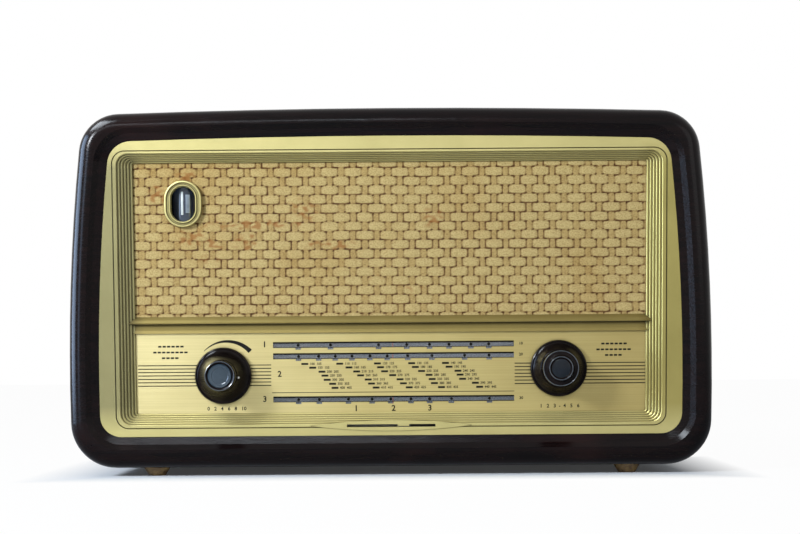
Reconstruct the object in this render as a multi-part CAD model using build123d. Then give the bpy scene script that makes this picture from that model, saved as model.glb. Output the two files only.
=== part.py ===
from build123d import *
import os
from math import atan2, cos, hypot, pi, radians, sin, sqrt

# A valve table radio in a bulged wooden cabinet, in millimetres.
# X runs to the right as seen from the front, Y into the depth, Z up.
# The origin lies under the middle of the whole set, on the surface it stands on.
# Depths are counted from the ridge of the wooden front frame and then moved by front_y.

# Cabinet
cabinet_width = 520.0
cabinet_height = 290.0
cabinet_depth = 205.0
side_bulge_radius = 1700.0
widest_height = 86.0
crown_radius = 7300.0
top_corner_radius = 33.0
bottom_corner_radius = 37.0
shell_wall = 10.0
shell_back_chamfer = 3.0
vent_length = 34.0
vent_width = 6.0
vent_pitch = 50.0
foot_height = 7.0
foot_radius = 11.0
foot_tip_radius = 7.0
foot_spread = 384.0
foot_inset = 27.0

# Wooden front frame: a round roll outside and a cove that falls to the opening
frame_depth = 17.0
opening_side = 24.4
opening_top = 22.9
opening_bottom = 24.9
opening_top_round = 19.5
opening_bottom_round = 17.5
cove_width = 10.0
cove_depth = 5.5
cove_steps = ((0.0, 0.0), (0.42, 0.66), (1.0, 1.0))
frame_roll_radius = 12.4

# Moulded bezel: a flange, a groove and a stack of reeds that step back to the window
# The recess is placed by its distances from the cabinet's widest, top and bottom lines
seat_gap = 0.3
bezel_depth = 10.5
recess_side_high = 35.4
recess_side_low = 38.0
recess_from_top = 33.6
recess_from_bottom = 31.5
recess_corner = 10.7
reed_count = 6
first_reed_side = 4.2
first_reed_top = 2.9
first_reed_bottom = 3.3
reed_side = 2.3
reed_top = 1.3
reed_bottom = 1.7
reed_corner_step = 1.6
reed_edge = 0.6
groove_width = 0.9
groove_depth = 0.9

# Band slot in the bottom reeds, with a lip shaped like an eyelid
band_slot_length = 71.4
band_slot_height = 2.2
band_slot_rise = 1.5
eyelid_length = 130.0
eyelid_height = 8.4
eyelid_rise = 0.6
band_tab_width = 9.3
band_tab_rest_x = 10.6

# Sheet layer behind the bezel: cloth above, dial plate below, and the board behind both
sheet_thickness = 1.0
sheet_overlap = 4.0
board_thickness = 6.0
board_screw_x = 120.0
board_screw_z = (95.0, 200.0)
board_window_x = 5.0
board_window_width = 342.0
board_window_margin = 3.0
divider_rise = 85.3
divider_crown = 5.1
divider_cove = 8.4
divider_reach = 4.4
divider_lip = 1.0

# Dial: slot heights above the recess, and notches placed from the slots' left end
dial_slot_length = 195.7
dial_slot_x = 2.1
dial_slot_height = 4.8
dial_slot_rises = (67.1, 58.0, 22.9)
dial_notches = (
    (20.4, 46.7, 85.8, 108.7, 127.2, 143.0, 160.8, 175.3),
    (20.6, 37.0, 50.5, 64.1, 78.6, 92.7, 109.4, 129.1, 155.6, 175.5),
    (20.5, 37.3, 61.0, 80.2, 95.4, 111.8, 127.0, 144.6, 175.6),
)
notch_depth = 1.5
notch_width = 4.6
glass_thickness = 3.0
glass_margin = 3.6
glass_side_margin = 5.0

# Knobs, with their heights above the recess
knob_from_side = 124.0
left_knob_rise = 42.5
right_knob_rise = 46.7
knob_radius = 23.0
knob_height = 30.0
knob_gap = 1.5
knob_rim = 3.6
knob_lip = 2.4
cap_radius = 12.4
cap_height = 13.0
cap_dish = 2.4
boss_radius = 14.4
boss_seat = 6.0
boss_gap = 0.4
shaft_radius = 3.0
tube_radius = 5.0
running_gap = 0.08
shaft_hole_gap = 0.8

# Tuning eye, placed from the recess's top left corner
eye_from_side = 56.7
eye_from_top = 42.8
eye_ring_width = 30.3
eye_ring_height = 37.9
eye_band_margin = 1.7
eye_band_depth = 1.3
eye_opening_width = 19.2
eye_opening_height = 28.0
eye_ring_rise = 3.4
eye_bulb_radius = 11.0
eye_bulb_length = 58.0
eye_bulb_gap = 1.5
eye_base_height = 10.0
eye_sleeve_wall = 1.4

# Dial drive
cord_radius = 0.4
cord_gap = 0.3
drum_groove_radius = 51.0
drum_width = 4.0
drum_rim = 1.6
drum_hole_radius = 12.0
drum_hole_circle = 29.0
spindle_groove_radius = 3.3
idler_groove_radius = 7.0
idler_width = 3.6
idler_axle_radius = 1.5
drum_x = 40.0
drum_rise = 29.0
run_above_drum = 5.0
idler_x = 104.0
cord_back = 8.0
backplate_gap = 2.0
backplate_thickness = 1.0
backplate_half = 118.0
backplate_foot = 8.0
backplate_leg_x = -60.0
rail_radius = 1.5
rail_above_cord = 5.6
rail_before_cord = 3.4
rail_post_x = 115.5
pointer_x = 1.4
pointer_width = 1.2
pointer_thickness = 0.8
carriage_width = 18.0
carriage_height = 8.4

# Band linkage
lever_length = 45.5
lever_rest_angle = 13.0
lever_thickness = 1.5
lever_half_width = 3.5
strip_thickness = 1.5
strip_height = 6.0
layer_gap = 0.4
pin_radius = 1.2
fork_play = 1.4
fork_height = 16.0
bracket_width = 70.0
bracket_height = 104.0
bracket_arm = 12.0
bracket_bridge = 22.0

# Chassis and what stands on it
chassis_front = 42.0
chassis_clear = 15.0
chassis_half = 200.0
chassis_height = 34.0
chassis_sheet = 1.5
chassis_flange = 12.0
upstand_height = 53.0
upstand_half = 27.0
socket_height = 6.0
socket_radius = 12.0
valve_radius = 11.0
valve_tip_radius = 2.5
valve_tip_height = 6.0
small_valve_height = 38.0
power_valve_height = 56.0
can_size = 26.0
can_height = 56.0
smoothing_radius = 17.0
smoothing_height = 68.0
control_radius = 12.0
control_depth = 16.0
control_bush = 5.0
small_valve_places = ((-85.0, 120.0), (-40.0, 140.0), (90.0, 120.0), (132.0, 140.0))
power_valve_places = ((-60.0, 88.0), (168.0, 95.0))
can_places = ((-15.0, 110.0), (62.0, 140.0), (108.0, 88.0))
smoothing_place = (-110.0, 150.0)
mains_transformer_place = (-158.0, 112.0)
mains_transformer_size = (84.0, 70.0, 34.0)
output_transformer_place = (-100.0, 76.0)
output_transformer_size = (50.0, 42.0, 18.0)
ferrite_coil_places = ((-52.0, 34.0), (38.0, 22.0))
ferrite_radius = 5.0
ferrite_length = 180.0
ferrite_rise = 84.0
coil_wall = 2.2
post_width = 8.0
post_x = 82.0
vane_count = 3
vane_thickness = 0.8
vane_pitch = 12.0
rotor_radius = 20.0
stator_radius = 23.0
capacitor_width = 52.0
capacitor_length = 44.0
switch_x = 92.0
switch_rise = 17.0
switch_shaft_radius = 2.4
switch_hub_radius = 6.4
wafer_size = 28.0
wafer_pitch = 16.0
wafer_thickness = 1.5

# Loudspeaker
speaker_radius = 50.0
speaker_rim_width = 7.0
speaker_above_rail = 12.4
speaker_depth = 42.0
speaker_flange = 2.0
speaker_arm_width = 14.0
speaker_arm_angles = (0.0, 90.0, 180.0, 270.0)
magnet_radius = 28.0
magnet_depth = 20.0
cone_skin = 0.8
cone_neck_radius = 13.0

# Back
back_thickness = 3.0
back_recess = 8.0
back_lip = 4.0
slot_columns = 8
slot_rows = 5
slot_length = 34.0
slot_width = 7.0
slot_column_pitch = 48.0
slot_row_pitch = 24.0
slot_row_top = 250.0
batten_width = 14.0
batten_height = 44.0
batten_depth = 30.0
batten_from_end = 58.0
glue_gap = 0.1
socket_row_rise = 18.0
socket_row_x = 110.0
socket_pitch = 14.0
socket_bore = 2.05
socket_block_height = 12.0
socket_inside = 12.0
socket_outside = 4.0
cord_hole_x = -140.0
cord_hole_radius = 3.6
grommet_wall = 2.4
selector_x = -60.0
selector_half = 15.0
selector_disc_radius = 11.0
selector_depth = 9.0

# Screws, drawn six-sided
screw_radius = 1.6
screw_head_radius = 4.0
screw_head_height = 2.0
bolt_inset = 25.0

# Places that follow from the sizes above
bezel_front = cove_depth
plate_front = bezel_front + bezel_depth
sheet_back = plate_front + sheet_thickness
board_back = sheet_back + board_thickness
knob_back = plate_front - knob_gap
knob_front = knob_back - knob_height
front_y = -(cabinet_depth - knob_front) / 2 - knob_front
cabinet_bottom = foot_height
cabinet_top = foot_height + cabinet_height
half_width = cabinet_width / 2
widest_z = cabinet_bottom + widest_height
recess_half_top = half_width - recess_side_high
recess_half_bottom = half_width - recess_side_low
recess_top = cabinet_top - recess_from_top
recess_bottom = cabinet_bottom + recess_from_bottom
band_slot_z = recess_bottom + band_slot_rise
divider_ridge = recess_bottom + divider_rise
divider_top = divider_ridge + divider_crown
divider_bottom = divider_ridge - divider_cove
dial_slot_z = [recess_bottom + rise for rise in dial_slot_rises]
knob_x = half_width - knob_from_side
left_knob_z = recess_bottom + left_knob_rise
right_knob_z = recess_bottom + right_knob_rise
eye_x = eye_from_side - recess_half_top
eye_z = recess_top - eye_from_top
eye_foot_z = eye_z - eye_bulb_length / 2 - 4.0
chassis_bottom = cabinet_bottom + shell_wall
deck_z = chassis_bottom + chassis_height
valve_low = deck_z + socket_height
upstand_top = deck_z + upstand_height
drum_z = deck_z + drum_rise
cord_track = cord_radius + cord_gap
cord_depth = board_back + cord_back
cord_run_z = drum_z + drum_groove_radius + run_above_drum
idler_z = cord_run_z - idler_groove_radius - cord_track
backplate_depth = board_back + backplate_gap
backplate_bottom = deck_z - backplate_foot
backplate_top = cord_run_z - 2 * rail_radius
rail_z = cord_run_z + rail_above_cord
rail_depth = cord_depth - rail_before_cord
strip_front = sheet_back + layer_gap
strip_back = strip_front + strip_thickness
lever_front = strip_back + layer_gap
pin_x = knob_x + lever_length * sin(radians(lever_rest_angle))
pin_z = right_knob_z - lever_length * cos(radians(lever_rest_angle))
speaker_z = rail_z + speaker_above_rail + speaker_radius
speaker_rim = board_back + speaker_flange
speaker_back = speaker_rim + speaker_depth
back_front = cabinet_depth - back_recess
back_face = back_front + back_thickness
chassis_back = back_front - chassis_clear
chassis_depth = chassis_back - chassis_front
row_z = chassis_bottom + socket_row_rise
switch_z = chassis_bottom + switch_rise

parts = {}


def cabinet_outline(inset=0.0):
    """Outline of the cabinet, drawn in by the same distance all round."""
    return bulged(inset, inset, inset, top_corner_radius - inset, bottom_corner_radius - inset)


def opening_outline(inset=0.0):
    """Outline of the front frame's opening, drawn in, or out by a negative distance."""
    return bulged(opening_side + inset, opening_top + inset, opening_bottom + inset,
                  opening_top_round - inset, opening_bottom_round - inset)


def bulged(side, top, bottom, top_round, bottom_round):
    """Shape between bulged sides and a crowned top, at a distance inside the cabinet's own lines."""
    radius = side_bulge_radius - side
    centre = half_width - side - radius
    crown = crown_radius - top
    low = cabinet_bottom + bottom
    high = cabinet_top - top
    face = Pos(centre, widest_z) * Circle(radius)
    face = face & Pos(-centre, widest_z) * Circle(radius)
    face = face & Pos(0, high - crown) * Circle(crown)
    face = face & Pos(0, (low + high) / 2) * Rectangle(cabinet_width, high - low)
    corners = face.vertices().sort_by(Axis.Y)
    face = fillet(corners[:2], bottom_round)
    corners = [v for v in face.vertices() if v.Y > high - top_round / 2]
    return fillet(corners, top_round)


def cabinet_half(z):
    """Half the cabinet's width at a height."""
    return half_width - side_bulge_radius + sqrt(side_bulge_radius ** 2 - (z - widest_z) ** 2)


def cabinet_crown(x):
    """Height of the cabinet's top at a distance from its middle."""
    return cabinet_top - crown_radius + sqrt(crown_radius ** 2 - x ** 2)


def reed_inset(step):
    """How far the window has stepped in at the sides after a number of reeds."""
    return min(step, 1) * first_reed_side + max(step - 1, 0) * reed_side


def window_top(step):
    return recess_top - min(step, 1) * first_reed_top - max(step - 1, 0) * reed_top


def window_bottom(step):
    return recess_bottom + min(step, 1) * first_reed_bottom + max(step - 1, 0) * reed_bottom


def window_half(step, z):
    """Half the window's width at a height."""
    share = (z - recess_bottom) / (recess_top - recess_bottom)
    return recess_half_bottom + share * (recess_half_top - recess_half_bottom) - reed_inset(step)


def reed_outline(step):
    """Outline of the window after a number of reeds, with tighter corners each time."""
    high = recess_half_top - reed_inset(step)
    low = recess_half_bottom - reed_inset(step)
    top = window_top(step)
    bottom = window_bottom(step)
    face = make_face(Polyline((-low, bottom), (low, bottom), (high, top), (-high, top), close=True))
    return fillet(face.vertices(), recess_corner - step * reed_corner_step)


def slab(profile, front, back):
    """Extrude an upright profile from one depth to a greater one."""
    plane = Plane.XZ.offset(-(front_y + front))
    return extrude(plane * profile, amount=back - front, dir=(0, 1, 0))


def upright(profile, low, high):
    """Extrude a level profile, drawn in X and depth, from one height to another."""
    return extrude(Pos(0, front_y, low) * profile, amount=high - low)


def turned(points, x, z):
    """Turn a profile of radius and depth about a shaft line that runs front to back."""
    profile = make_face(Polyline(*points, close=True))
    return Pos(x, front_y, z) * revolve(profile, Axis.Y, 360)


def stood(points, x, depth, z):
    """Turn a profile of radius and height about an upright line."""
    profile = Plane.XZ * make_face(Polyline(*points, close=True))
    return Pos(x, front_y + depth, z) * revolve(profile, Axis.Z, 360)


def rod(x, z, radius, front, back):
    """Round bar that runs front to back."""
    return slab(Pos(x, z) * Circle(radius), front, back)


def block(x, z, width, height, front, back):
    """Plain block given by its centre, size and depths."""
    return slab(Pos(x, z) * Rectangle(width, height), front, back)


def shank(x, z, front, back):
    """Screw shank, or the hole for one."""
    return slab(Pos(x, z) * RegularPolygon(screw_radius, 6), front, back)


def upright_shank(x, depth, low, high):
    return upright(Pos(x, depth) * RegularPolygon(screw_radius, 6), low, high)


def screws(places, seat, length, sign=1):
    """Screws with heads on a face: sign 1 runs them forward from it, sign -1 backward."""
    group = []
    for x, z in places:
        ends = sorted((seat, seat + sign * screw_head_height))
        head = slab(Pos(x, z) * RegularPolygon(screw_head_radius, 6), ends[0], ends[1])
        ends = sorted((seat, seat - sign * length))
        group.append(head + shank(x, z, ends[0], ends[1]))
    return grouped(group)


def grouped(solids):
    """Compound of separate solids that share one node."""
    return Compound(children=solids)


def front_edges(solid, depth, inner=False):
    """Edges round the flat face that looks forward at a depth."""
    place = front_y + depth
    faces = [f for f in solid.faces() if abs(f.center().Y - place) < 0.01 and f.normal_at().Y < -0.9]
    face = max(faces, key=lambda f: f.area)
    if inner:
        return face.inner_wires()[0].edges()
    return face.outer_wire().edges()


def foot_places():
    rear = cabinet_depth - foot_inset
    return [(side * foot_spread / 2, depth) for side in (-1, 1) for depth in (foot_inset, rear)]


def bolt_places():
    ends = (chassis_front + bolt_inset, chassis_back - bolt_inset)
    return [(side * (chassis_half - bolt_inset), depth) for side in (-1, 1) for depth in ends]


def board_screw_places():
    """Screws through the board into the front frame, midway between the shell and the opening."""
    side = (shell_wall + opening_side) / 2
    low = cabinet_bottom + (shell_wall + opening_bottom) / 2
    high = cabinet_crown(board_screw_x) - (shell_wall + opening_top) / 2
    places = [(s * board_screw_x, z) for s in (-1, 1) for z in (low, high)]
    return places + [(s * (cabinet_half(z) - side), z) for s in (-1, 1) for z in board_screw_z]


def speaker_screw_places():
    reach = speaker_radius * 0.8
    return [(sx * reach, speaker_z + sz * reach) for sx in (-1, 1) for sz in (-1, 1)]


def back_screw_places():
    """Middles of the battens, each against the narrowest place of the wall beside it."""
    places = []
    for z in (cabinet_bottom + batten_from_end, cabinet_top - batten_from_end):
        end = z + batten_height / 2 if z > widest_z else z - batten_height / 2
        x = cabinet_half(end) - shell_wall - glue_gap - batten_width / 2
        places += [(-x, z), (x, z)]
    return places


def make_cabinet():
    shell = slab(cabinet_outline(), frame_depth, cabinet_depth)
    shell = chamfer(shell.faces().sort_by(Axis.Y)[-1].edges(), shell_back_chamfer)
    shell -= slab(cabinet_outline(shell_wall), frame_depth, cabinet_depth)
    shell -= slab(cabinet_outline(shell_wall - back_lip), back_front, cabinet_depth)
    for depth in (cabinet_depth * 0.44, cabinet_depth * 0.64):
        for i in range(6):
            vent = Pos(vent_pitch * (i - 2.5), depth) * Rectangle(vent_length, vent_width)
            shell -= upright(vent, cabinet_bottom, cabinet_bottom + shell_wall)
    for x, depth in bolt_places():
        shell -= upright_shank(x, depth, cabinet_bottom, cabinet_bottom + shell_wall)
    parts["cabinet_shell"] = shell

    frame = slab(cabinet_outline(), 0, frame_depth)
    frame = fillet(front_edges(frame, 0), frame_roll_radius)
    sections = []
    for share, fall in cove_steps:
        ring = opening_outline(-(1 - share) * cove_width)
        sections.append(Plane.XZ.offset(-(front_y + fall * cove_depth)) * ring)
    frame -= loft([section.face() for section in sections], ruled=True)
    frame -= slab(opening_outline(), 0, frame_depth)
    for x, z in board_screw_places():
        frame -= shank(x, z, frame_depth - 9.0, frame_depth)
    parts["front_frame"] = frame

    battens = []
    for x, z in back_screw_places():
        batten = block(x, z, batten_width, batten_height, back_front - batten_depth, back_front)
        batten -= shank(x, z, back_front - 12.0, back_front)
        battens.append(batten)
    parts["back_battens"] = grouped(battens)


def make_bezel():
    bezel = slab(opening_outline(seat_gap), bezel_front, plate_front)
    drop = bezel_depth / reed_count
    for step in range(1, reed_count + 1):
        level = bezel_front + drop * (step - 1)
        bezel -= slab(reed_outline(step), bezel_front - 1.0, level + drop)
        bezel = chamfer(front_edges(bezel, level, inner=True), reed_edge)
    ring = reed_outline(0) - offset(reed_outline(0), -groove_width)
    bezel -= slab(ring, bezel_front - 1.0, bezel_front + groove_depth)

    lid_radius = (eyelid_length ** 2 / 4 + eyelid_height ** 2 / 4) / eyelid_height
    shift = lid_radius - eyelid_height / 2
    lid = Pos(0, band_slot_z + shift) * Circle(lid_radius)
    lid = lid & Pos(0, band_slot_z - shift) * Circle(lid_radius)
    bezel += slab(lid, bezel_front - eyelid_rise, plate_front)
    slot = Pos(0, band_slot_z) * Rectangle(band_slot_length, band_slot_height)
    bezel -= slab(slot, bezel_front - 2.0, plate_front)
    parts["bezel"] = bezel

    reach = plate_front - divider_reach
    step = plate_front - divider_lip
    profile = make_face(Polyline(
        (plate_front, divider_bottom), (step - divider_lip, divider_bottom),
        (step - 0.3, divider_bottom + 2.6), (step, divider_ridge - 1.2),
        (reach, divider_ridge - 0.6), (reach, divider_ridge + 0.4),
        (reach + 1.6, divider_ridge + 2.4), (plate_front, divider_top), close=True))
    half = window_half(3, divider_top)
    plane = Plane(origin=(-half, front_y, 0), x_dir=(0, 1, 0), z_dir=(1, 0, 0))
    parts["divider_bar"] = extrude(plane * profile, 2 * half) - bezel


def eye_shape(width, height):
    """Upright slot shape with round ends, at the tuning eye."""
    return Pos(eye_x, eye_z) * Rot(0, 0, 90) * SlotOverall(height, width)


def eye_sleeve(gap=0.0):
    margin = 2 * (eye_sleeve_wall + gap)
    return eye_shape(eye_opening_width + margin, eye_opening_height + margin)


def make_front_sheets():
    half = window_half(reed_count, divider_top) + sheet_overlap
    seam = (divider_top + divider_bottom) / 2
    low = seam + layer_gap
    high = window_top(reed_count) + sheet_overlap
    cloth = block(0, (low + high) / 2, 2 * half, high - low, plate_front, sheet_back)
    parts["speaker_cloth"] = cloth - slab(eye_sleeve(seat_gap), plate_front, sheet_back)

    low = window_bottom(reed_count) - 1.5
    plate = block(0, (low + seam) / 2, 2 * half - sheet_overlap, seam - low, plate_front, sheet_back)
    start = dial_slot_x - dial_slot_length / 2
    for z, notches in zip(dial_slot_z, dial_notches):
        plate -= block(dial_slot_x, z, dial_slot_length, dial_slot_height, plate_front, sheet_back)
        bottom = z - dial_slot_height / 2 - notch_depth / 2
        for place in notches:
            plate -= block(start + place, bottom, notch_width, notch_depth, plate_front, sheet_back)
    plate -= rod(-knob_x, left_knob_z, shaft_radius + shaft_hole_gap, plate_front, sheet_back)
    plate -= rod(knob_x, right_knob_z, tube_radius + shaft_hole_gap, plate_front, sheet_back)
    parts["dial_plate"] = plate

    board = slab(cabinet_outline(shell_wall + seat_gap), sheet_back, board_back)
    board -= rod(0, speaker_z, speaker_radius - speaker_rim_width, sheet_back, board_back)
    low = band_slot_z - strip_height / 2 - board_window_margin
    high = backplate_top - 2 * board_window_margin
    board -= block(board_window_x, (low + high) / 2, board_window_width, high - low, sheet_back, board_back)
    low = eye_foot_z - eye_base_height - 1.0
    high = eye_foot_z + eye_bulb_length + 2.0
    board -= block(eye_x, (low + high) / 2, 2 * eye_bulb_radius + 4.0, high - low, sheet_back, board_back)
    for x, z in board_screw_places() + speaker_screw_places():
        board -= shank(x, z, sheet_back, board_back)
    parts["baffle_board"] = board
    parts["baffle_screws"] = screws(board_screw_places(), board_back, board_thickness + 8.5)

    low = dial_slot_z[-1] - dial_slot_height / 2 - glass_margin
    high = dial_slot_z[0] + dial_slot_height / 2 + glass_margin
    glass = block(dial_slot_x, (low + high) / 2, dial_slot_length + 2 * glass_side_margin, high - low,
                  sheet_back, sheet_back + glass_thickness)
    parts["dial_glass"] = chamfer(glass.edges().filter_by(Axis.Y), 1.5)


def make_eye():
    front = plate_front - eye_ring_rise
    ring = slab(eye_shape(eye_ring_width, eye_ring_height), front, plate_front)
    margin = 2 * eye_band_margin
    band = eye_shape(eye_ring_width - margin, eye_ring_height - margin)
    band -= eye_shape(eye_opening_width + margin, eye_opening_height + margin)
    ring -= slab(band, front, front + eye_band_depth)
    ring += slab(eye_sleeve(), plate_front, sheet_back)
    parts["magic_eye_ring"] = ring - slab(eye_shape(eye_opening_width, eye_opening_height), front, sheet_back)

    depth = sheet_back + eye_bulb_gap + eye_bulb_radius
    dome = eye_bulb_length - 11.0
    parts["magic_eye_valve"] = stood(
        [(0, 0), (eye_bulb_radius, 0), (eye_bulb_radius, dome), (eye_bulb_radius * 0.4, eye_bulb_length),
         (0, eye_bulb_length)],
        eye_x, depth, eye_foot_z)
    under = eye_foot_z - eye_base_height
    base = eye_bulb_radius + 0.5
    holder = stood([(0, -eye_base_height), (base, -eye_base_height), (base, 0), (0, 0)],
                   eye_x, depth, eye_foot_z)
    holder += block(eye_x, under - 1.0, 30.0, 2.0, board_back, depth + 12.0)
    holder += block(eye_x, under - 13.0, 30.0, 24.0, board_back, board_back + 1.5)
    parts["magic_eye_holder"] = holder


def make_knobs():
    rim = knob_radius
    bead = rim - knob_lip
    shelf = knob_back - knob_rim
    volume = turned([
        (0, knob_back), (rim, knob_back), (rim, shelf), (bead, shelf), (cap_radius, knob_front + cap_height),
        (cap_radius, knob_front), (cap_radius - 2.0, knob_front),
        (cap_radius - 2.0, knob_front + cap_dish), (0, knob_front + cap_dish),
    ], -knob_x, left_knob_z)
    grip = knob_back - knob_height * 0.6
    volume -= rod(-knob_x, left_knob_z, shaft_radius, grip, knob_back)
    parts["volume_knob"] = volume
    parts["volume_shaft"] = rod(-knob_x, left_knob_z, shaft_radius, grip, chassis_front + 4.0)

    well = boss_radius + boss_gap
    seat = knob_back - boss_seat
    mouth = knob_back - knob_height * 0.42
    parts["band_ring"] = turned([
        (tube_radius, knob_back), (rim, knob_back), (rim, shelf), (bead, shelf), (well, mouth),
        (well, seat), (tube_radius, seat),
    ], knob_x, right_knob_z)

    base = seat - boss_gap
    tuning = turned([
        (0, base), (boss_radius, base), (boss_radius, knob_front + 3.0), (boss_radius - 4.0, knob_front + 3.0),
        (boss_radius - 4.0, knob_front), (boss_radius - 6.6, knob_front),
        (boss_radius - 6.6, knob_front + cap_dish), (0, knob_front + cap_dish),
    ], knob_x, right_knob_z)
    tuning -= rod(knob_x, right_knob_z, shaft_radius, knob_front + 7.0, base)
    parts["tuning_knob"] = tuning

    groove = spindle_groove_radius
    cheek = groove + 1.6
    parts["tuning_spindle"] = turned([
        (0, knob_front + 7.0), (shaft_radius, knob_front + 7.0), (shaft_radius, cord_depth - 3.0),
        (cheek, cord_depth - 3.0), (groove, cord_depth - 1.0), (groove, cord_depth + 1.0),
        (cheek, cord_depth + 3.0), (shaft_radius, cord_depth + 3.0),
        (shaft_radius, chassis_front + 5.0), (0, chassis_front + 5.0),
    ], knob_x, right_knob_z)

    tube_end = board_back + 2.2
    lever = rod(knob_x, right_knob_z, tube_radius, seat, tube_end)
    middle = Pos((knob_x + pin_x) / 2, (right_knob_z + pin_z) / 2)
    arm = middle * Rot(0, 0, lever_rest_angle) * Rectangle(2 * lever_half_width, lever_length)
    arm = arm + Pos(pin_x, pin_z) * Circle(lever_half_width)
    arm = arm + Pos(knob_x, right_knob_z) * Circle(tube_radius + 3.5)
    lever += slab(arm, lever_front, lever_front + lever_thickness)
    lever += rod(pin_x, pin_z, pin_radius, strip_front, lever_front)
    lever -= rod(knob_x, right_knob_z, shaft_radius + running_gap, seat, tube_end)
    parts["band_lever"] = lever

    bracket = Rectangle(bracket_width, bracket_height)
    bracket -= Rectangle(bracket_width - 2 * bracket_arm, bracket_height - 3 * bracket_arm)
    bracket = Pos(knob_x, right_knob_z + 4.0) * bracket
    bracket = bracket + Pos(knob_x, right_knob_z) * Rectangle(bracket_width - bracket_arm, bracket_bridge)
    bracket = slab(bracket, board_back, board_back + chassis_sheet)
    hole = rod(knob_x, right_knob_z, tube_radius + running_gap, board_back, board_back + chassis_sheet)
    parts["spindle_bracket"] = bracket - hole

    tab_left = band_tab_rest_x - band_tab_width / 2
    tab = block(band_tab_rest_x, band_slot_z, band_tab_width, band_slot_height - 2 * seat_gap,
                bezel_front - seat_gap, strip_front)
    slot_half = pin_radius + fork_play
    right = pin_x + slot_half + 4.0
    strip = block((tab_left + right) / 2, band_slot_z, right - tab_left, strip_height,
                  strip_front, strip_back)
    low = band_slot_z - strip_height / 2
    strip += block(pin_x, low + fork_height / 2, 2 * slot_half + 8.0, fork_height, strip_front, strip_back)
    slot_low = right_knob_z - lever_length - pin_radius - layer_gap
    slot_high = low + fork_height + 1.0
    strip -= block(pin_x, (slot_low + slot_high) / 2, 2 * slot_half, slot_high - slot_low,
                   strip_front, strip_back)
    parts["band_indicator"] = tab + strip


def make_drive():
    front = cord_depth - drum_width / 2
    back = cord_depth + drum_width / 2
    drum = turned([
        (shaft_radius, front - 2.0), (shaft_radius + 3.0, front - 2.0), (shaft_radius + 3.0, front),
        (drum_groove_radius + drum_rim, front), (drum_groove_radius, cord_depth),
        (drum_groove_radius + drum_rim, back), (shaft_radius, back),
    ], drum_x, drum_z)
    for i in range(3):
        angle = radians(90.0 + 120.0 * i)
        drum -= rod(drum_x + drum_hole_circle * cos(angle), drum_z + drum_hole_circle * sin(angle),
                    drum_hole_radius, front, back)
    parts["dial_drum"] = drum

    half = idler_width / 2
    rim = idler_groove_radius + 1.4
    for name, side in (("idler_pulley_left", -1), ("idler_pulley_right", 1)):
        parts[name] = turned([
            (idler_axle_radius + running_gap, cord_depth - half), (rim, cord_depth - half),
            (idler_groove_radius, cord_depth), (rim, cord_depth + half),
            (idler_axle_radius + running_gap, cord_depth + half),
        ], side * idler_x, idler_z)

    back = backplate_depth + backplate_thickness
    middle = (backplate_bottom + backplate_top) / 2
    plate = block(0, middle, 2 * backplate_half, backplate_top - backplate_bottom, backplate_depth, back)
    for x, width in ((backplate_leg_x, 30.0), (idler_x, 16.0)):
        plate += block(x, backplate_bottom + backplate_thickness / 2, width, backplate_thickness,
                       backplate_depth, chassis_front)
    for side in (-1, 1):
        plate += rod(side * idler_x, idler_z, idler_axle_radius, back, cord_depth + half + 0.8)
        plate += rod(side * idler_x, idler_z, idler_axle_radius + 1.4, back, cord_depth - half - layer_gap)
    parts["dial_backplate"] = plate

    rail = Pos(0, front_y + rail_depth, rail_z) * Rot(0, 90, 0) * Cylinder(rail_radius, 2 * rail_post_x)
    low = backplate_top - 8.0
    high = rail_z + 3.0
    for side in (-1, 1):
        rail += block(side * rail_post_x, (low + high) / 2, 1.4, high - low, back, rail_depth + 3.0)
    parts["pointer_rail"] = rail

    needle_front = board_back + layer_gap
    needle_back = needle_front + pointer_thickness
    carriage = block(pointer_x, rail_z, carriage_width, carriage_height, needle_back, cord_depth + 2.0)
    bore = Pos(pointer_x, front_y + rail_depth, rail_z) * Rot(0, 90, 0)
    carriage -= bore * Cylinder(rail_radius + 0.3, carriage_width + 2.0)
    tip = dial_slot_z[-1] - dial_slot_height - 4.0
    top = rail_z + carriage_height / 2
    needle = block(pointer_x, (tip + top) / 2, pointer_width, top - tip, needle_front, needle_back)
    parts["dial_pointer"] = carriage + needle

    parts["dial_cord"] = drive_cord()


def drive_cord():
    """Loop of cord round the two idlers, the spindle and the drum, pulled tight."""
    wheels = [
        (-idler_x, idler_z, idler_groove_radius + cord_track),
        (idler_x, idler_z, idler_groove_radius + cord_track),
        (knob_x, right_knob_z, spindle_groove_radius + cord_track),
        (drum_x, drum_z, drum_groove_radius + cord_track),
    ]
    tangents = []
    count = len(wheels)
    for i in range(count):
        x1, z1, r1 = wheels[i]
        x2, z2, r2 = wheels[(i + 1) % count]
        gap = hypot(x2 - x1, z2 - z1)
        along = atan2(z2 - z1, x2 - x1)
        normal = along + pi / 2 + atan2(r2 - r1, sqrt(gap ** 2 - (r1 - r2) ** 2))
        start = (x1 + r1 * cos(normal), z1 + r1 * sin(normal))
        end = (x2 + r2 * cos(normal), z2 + r2 * sin(normal))
        tangents.append((start, end, normal))
    edges = []
    for i in range(count):
        start, end, normal = tangents[i]
        following = tangents[(i + 1) % count]
        x, z, radius = wheels[(i + 1) % count]
        edges.append(Line(start, end))
        turn = (normal - following[2]) % (2 * pi)
        middle = normal - turn / 2
        edges.append(ThreePointArc(end, (x + radius * cos(middle), z + radius * sin(middle)), following[0]))
    path = Plane.XZ.offset(-(front_y + cord_depth)) * Wire(edges)
    start = tangents[0][0]
    place = Plane(origin=(start[0], front_y + cord_depth, start[1]), z_dir=(1, 0, 0))
    return sweep(place * RegularPolygon(cord_radius, 6), path=path)


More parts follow.
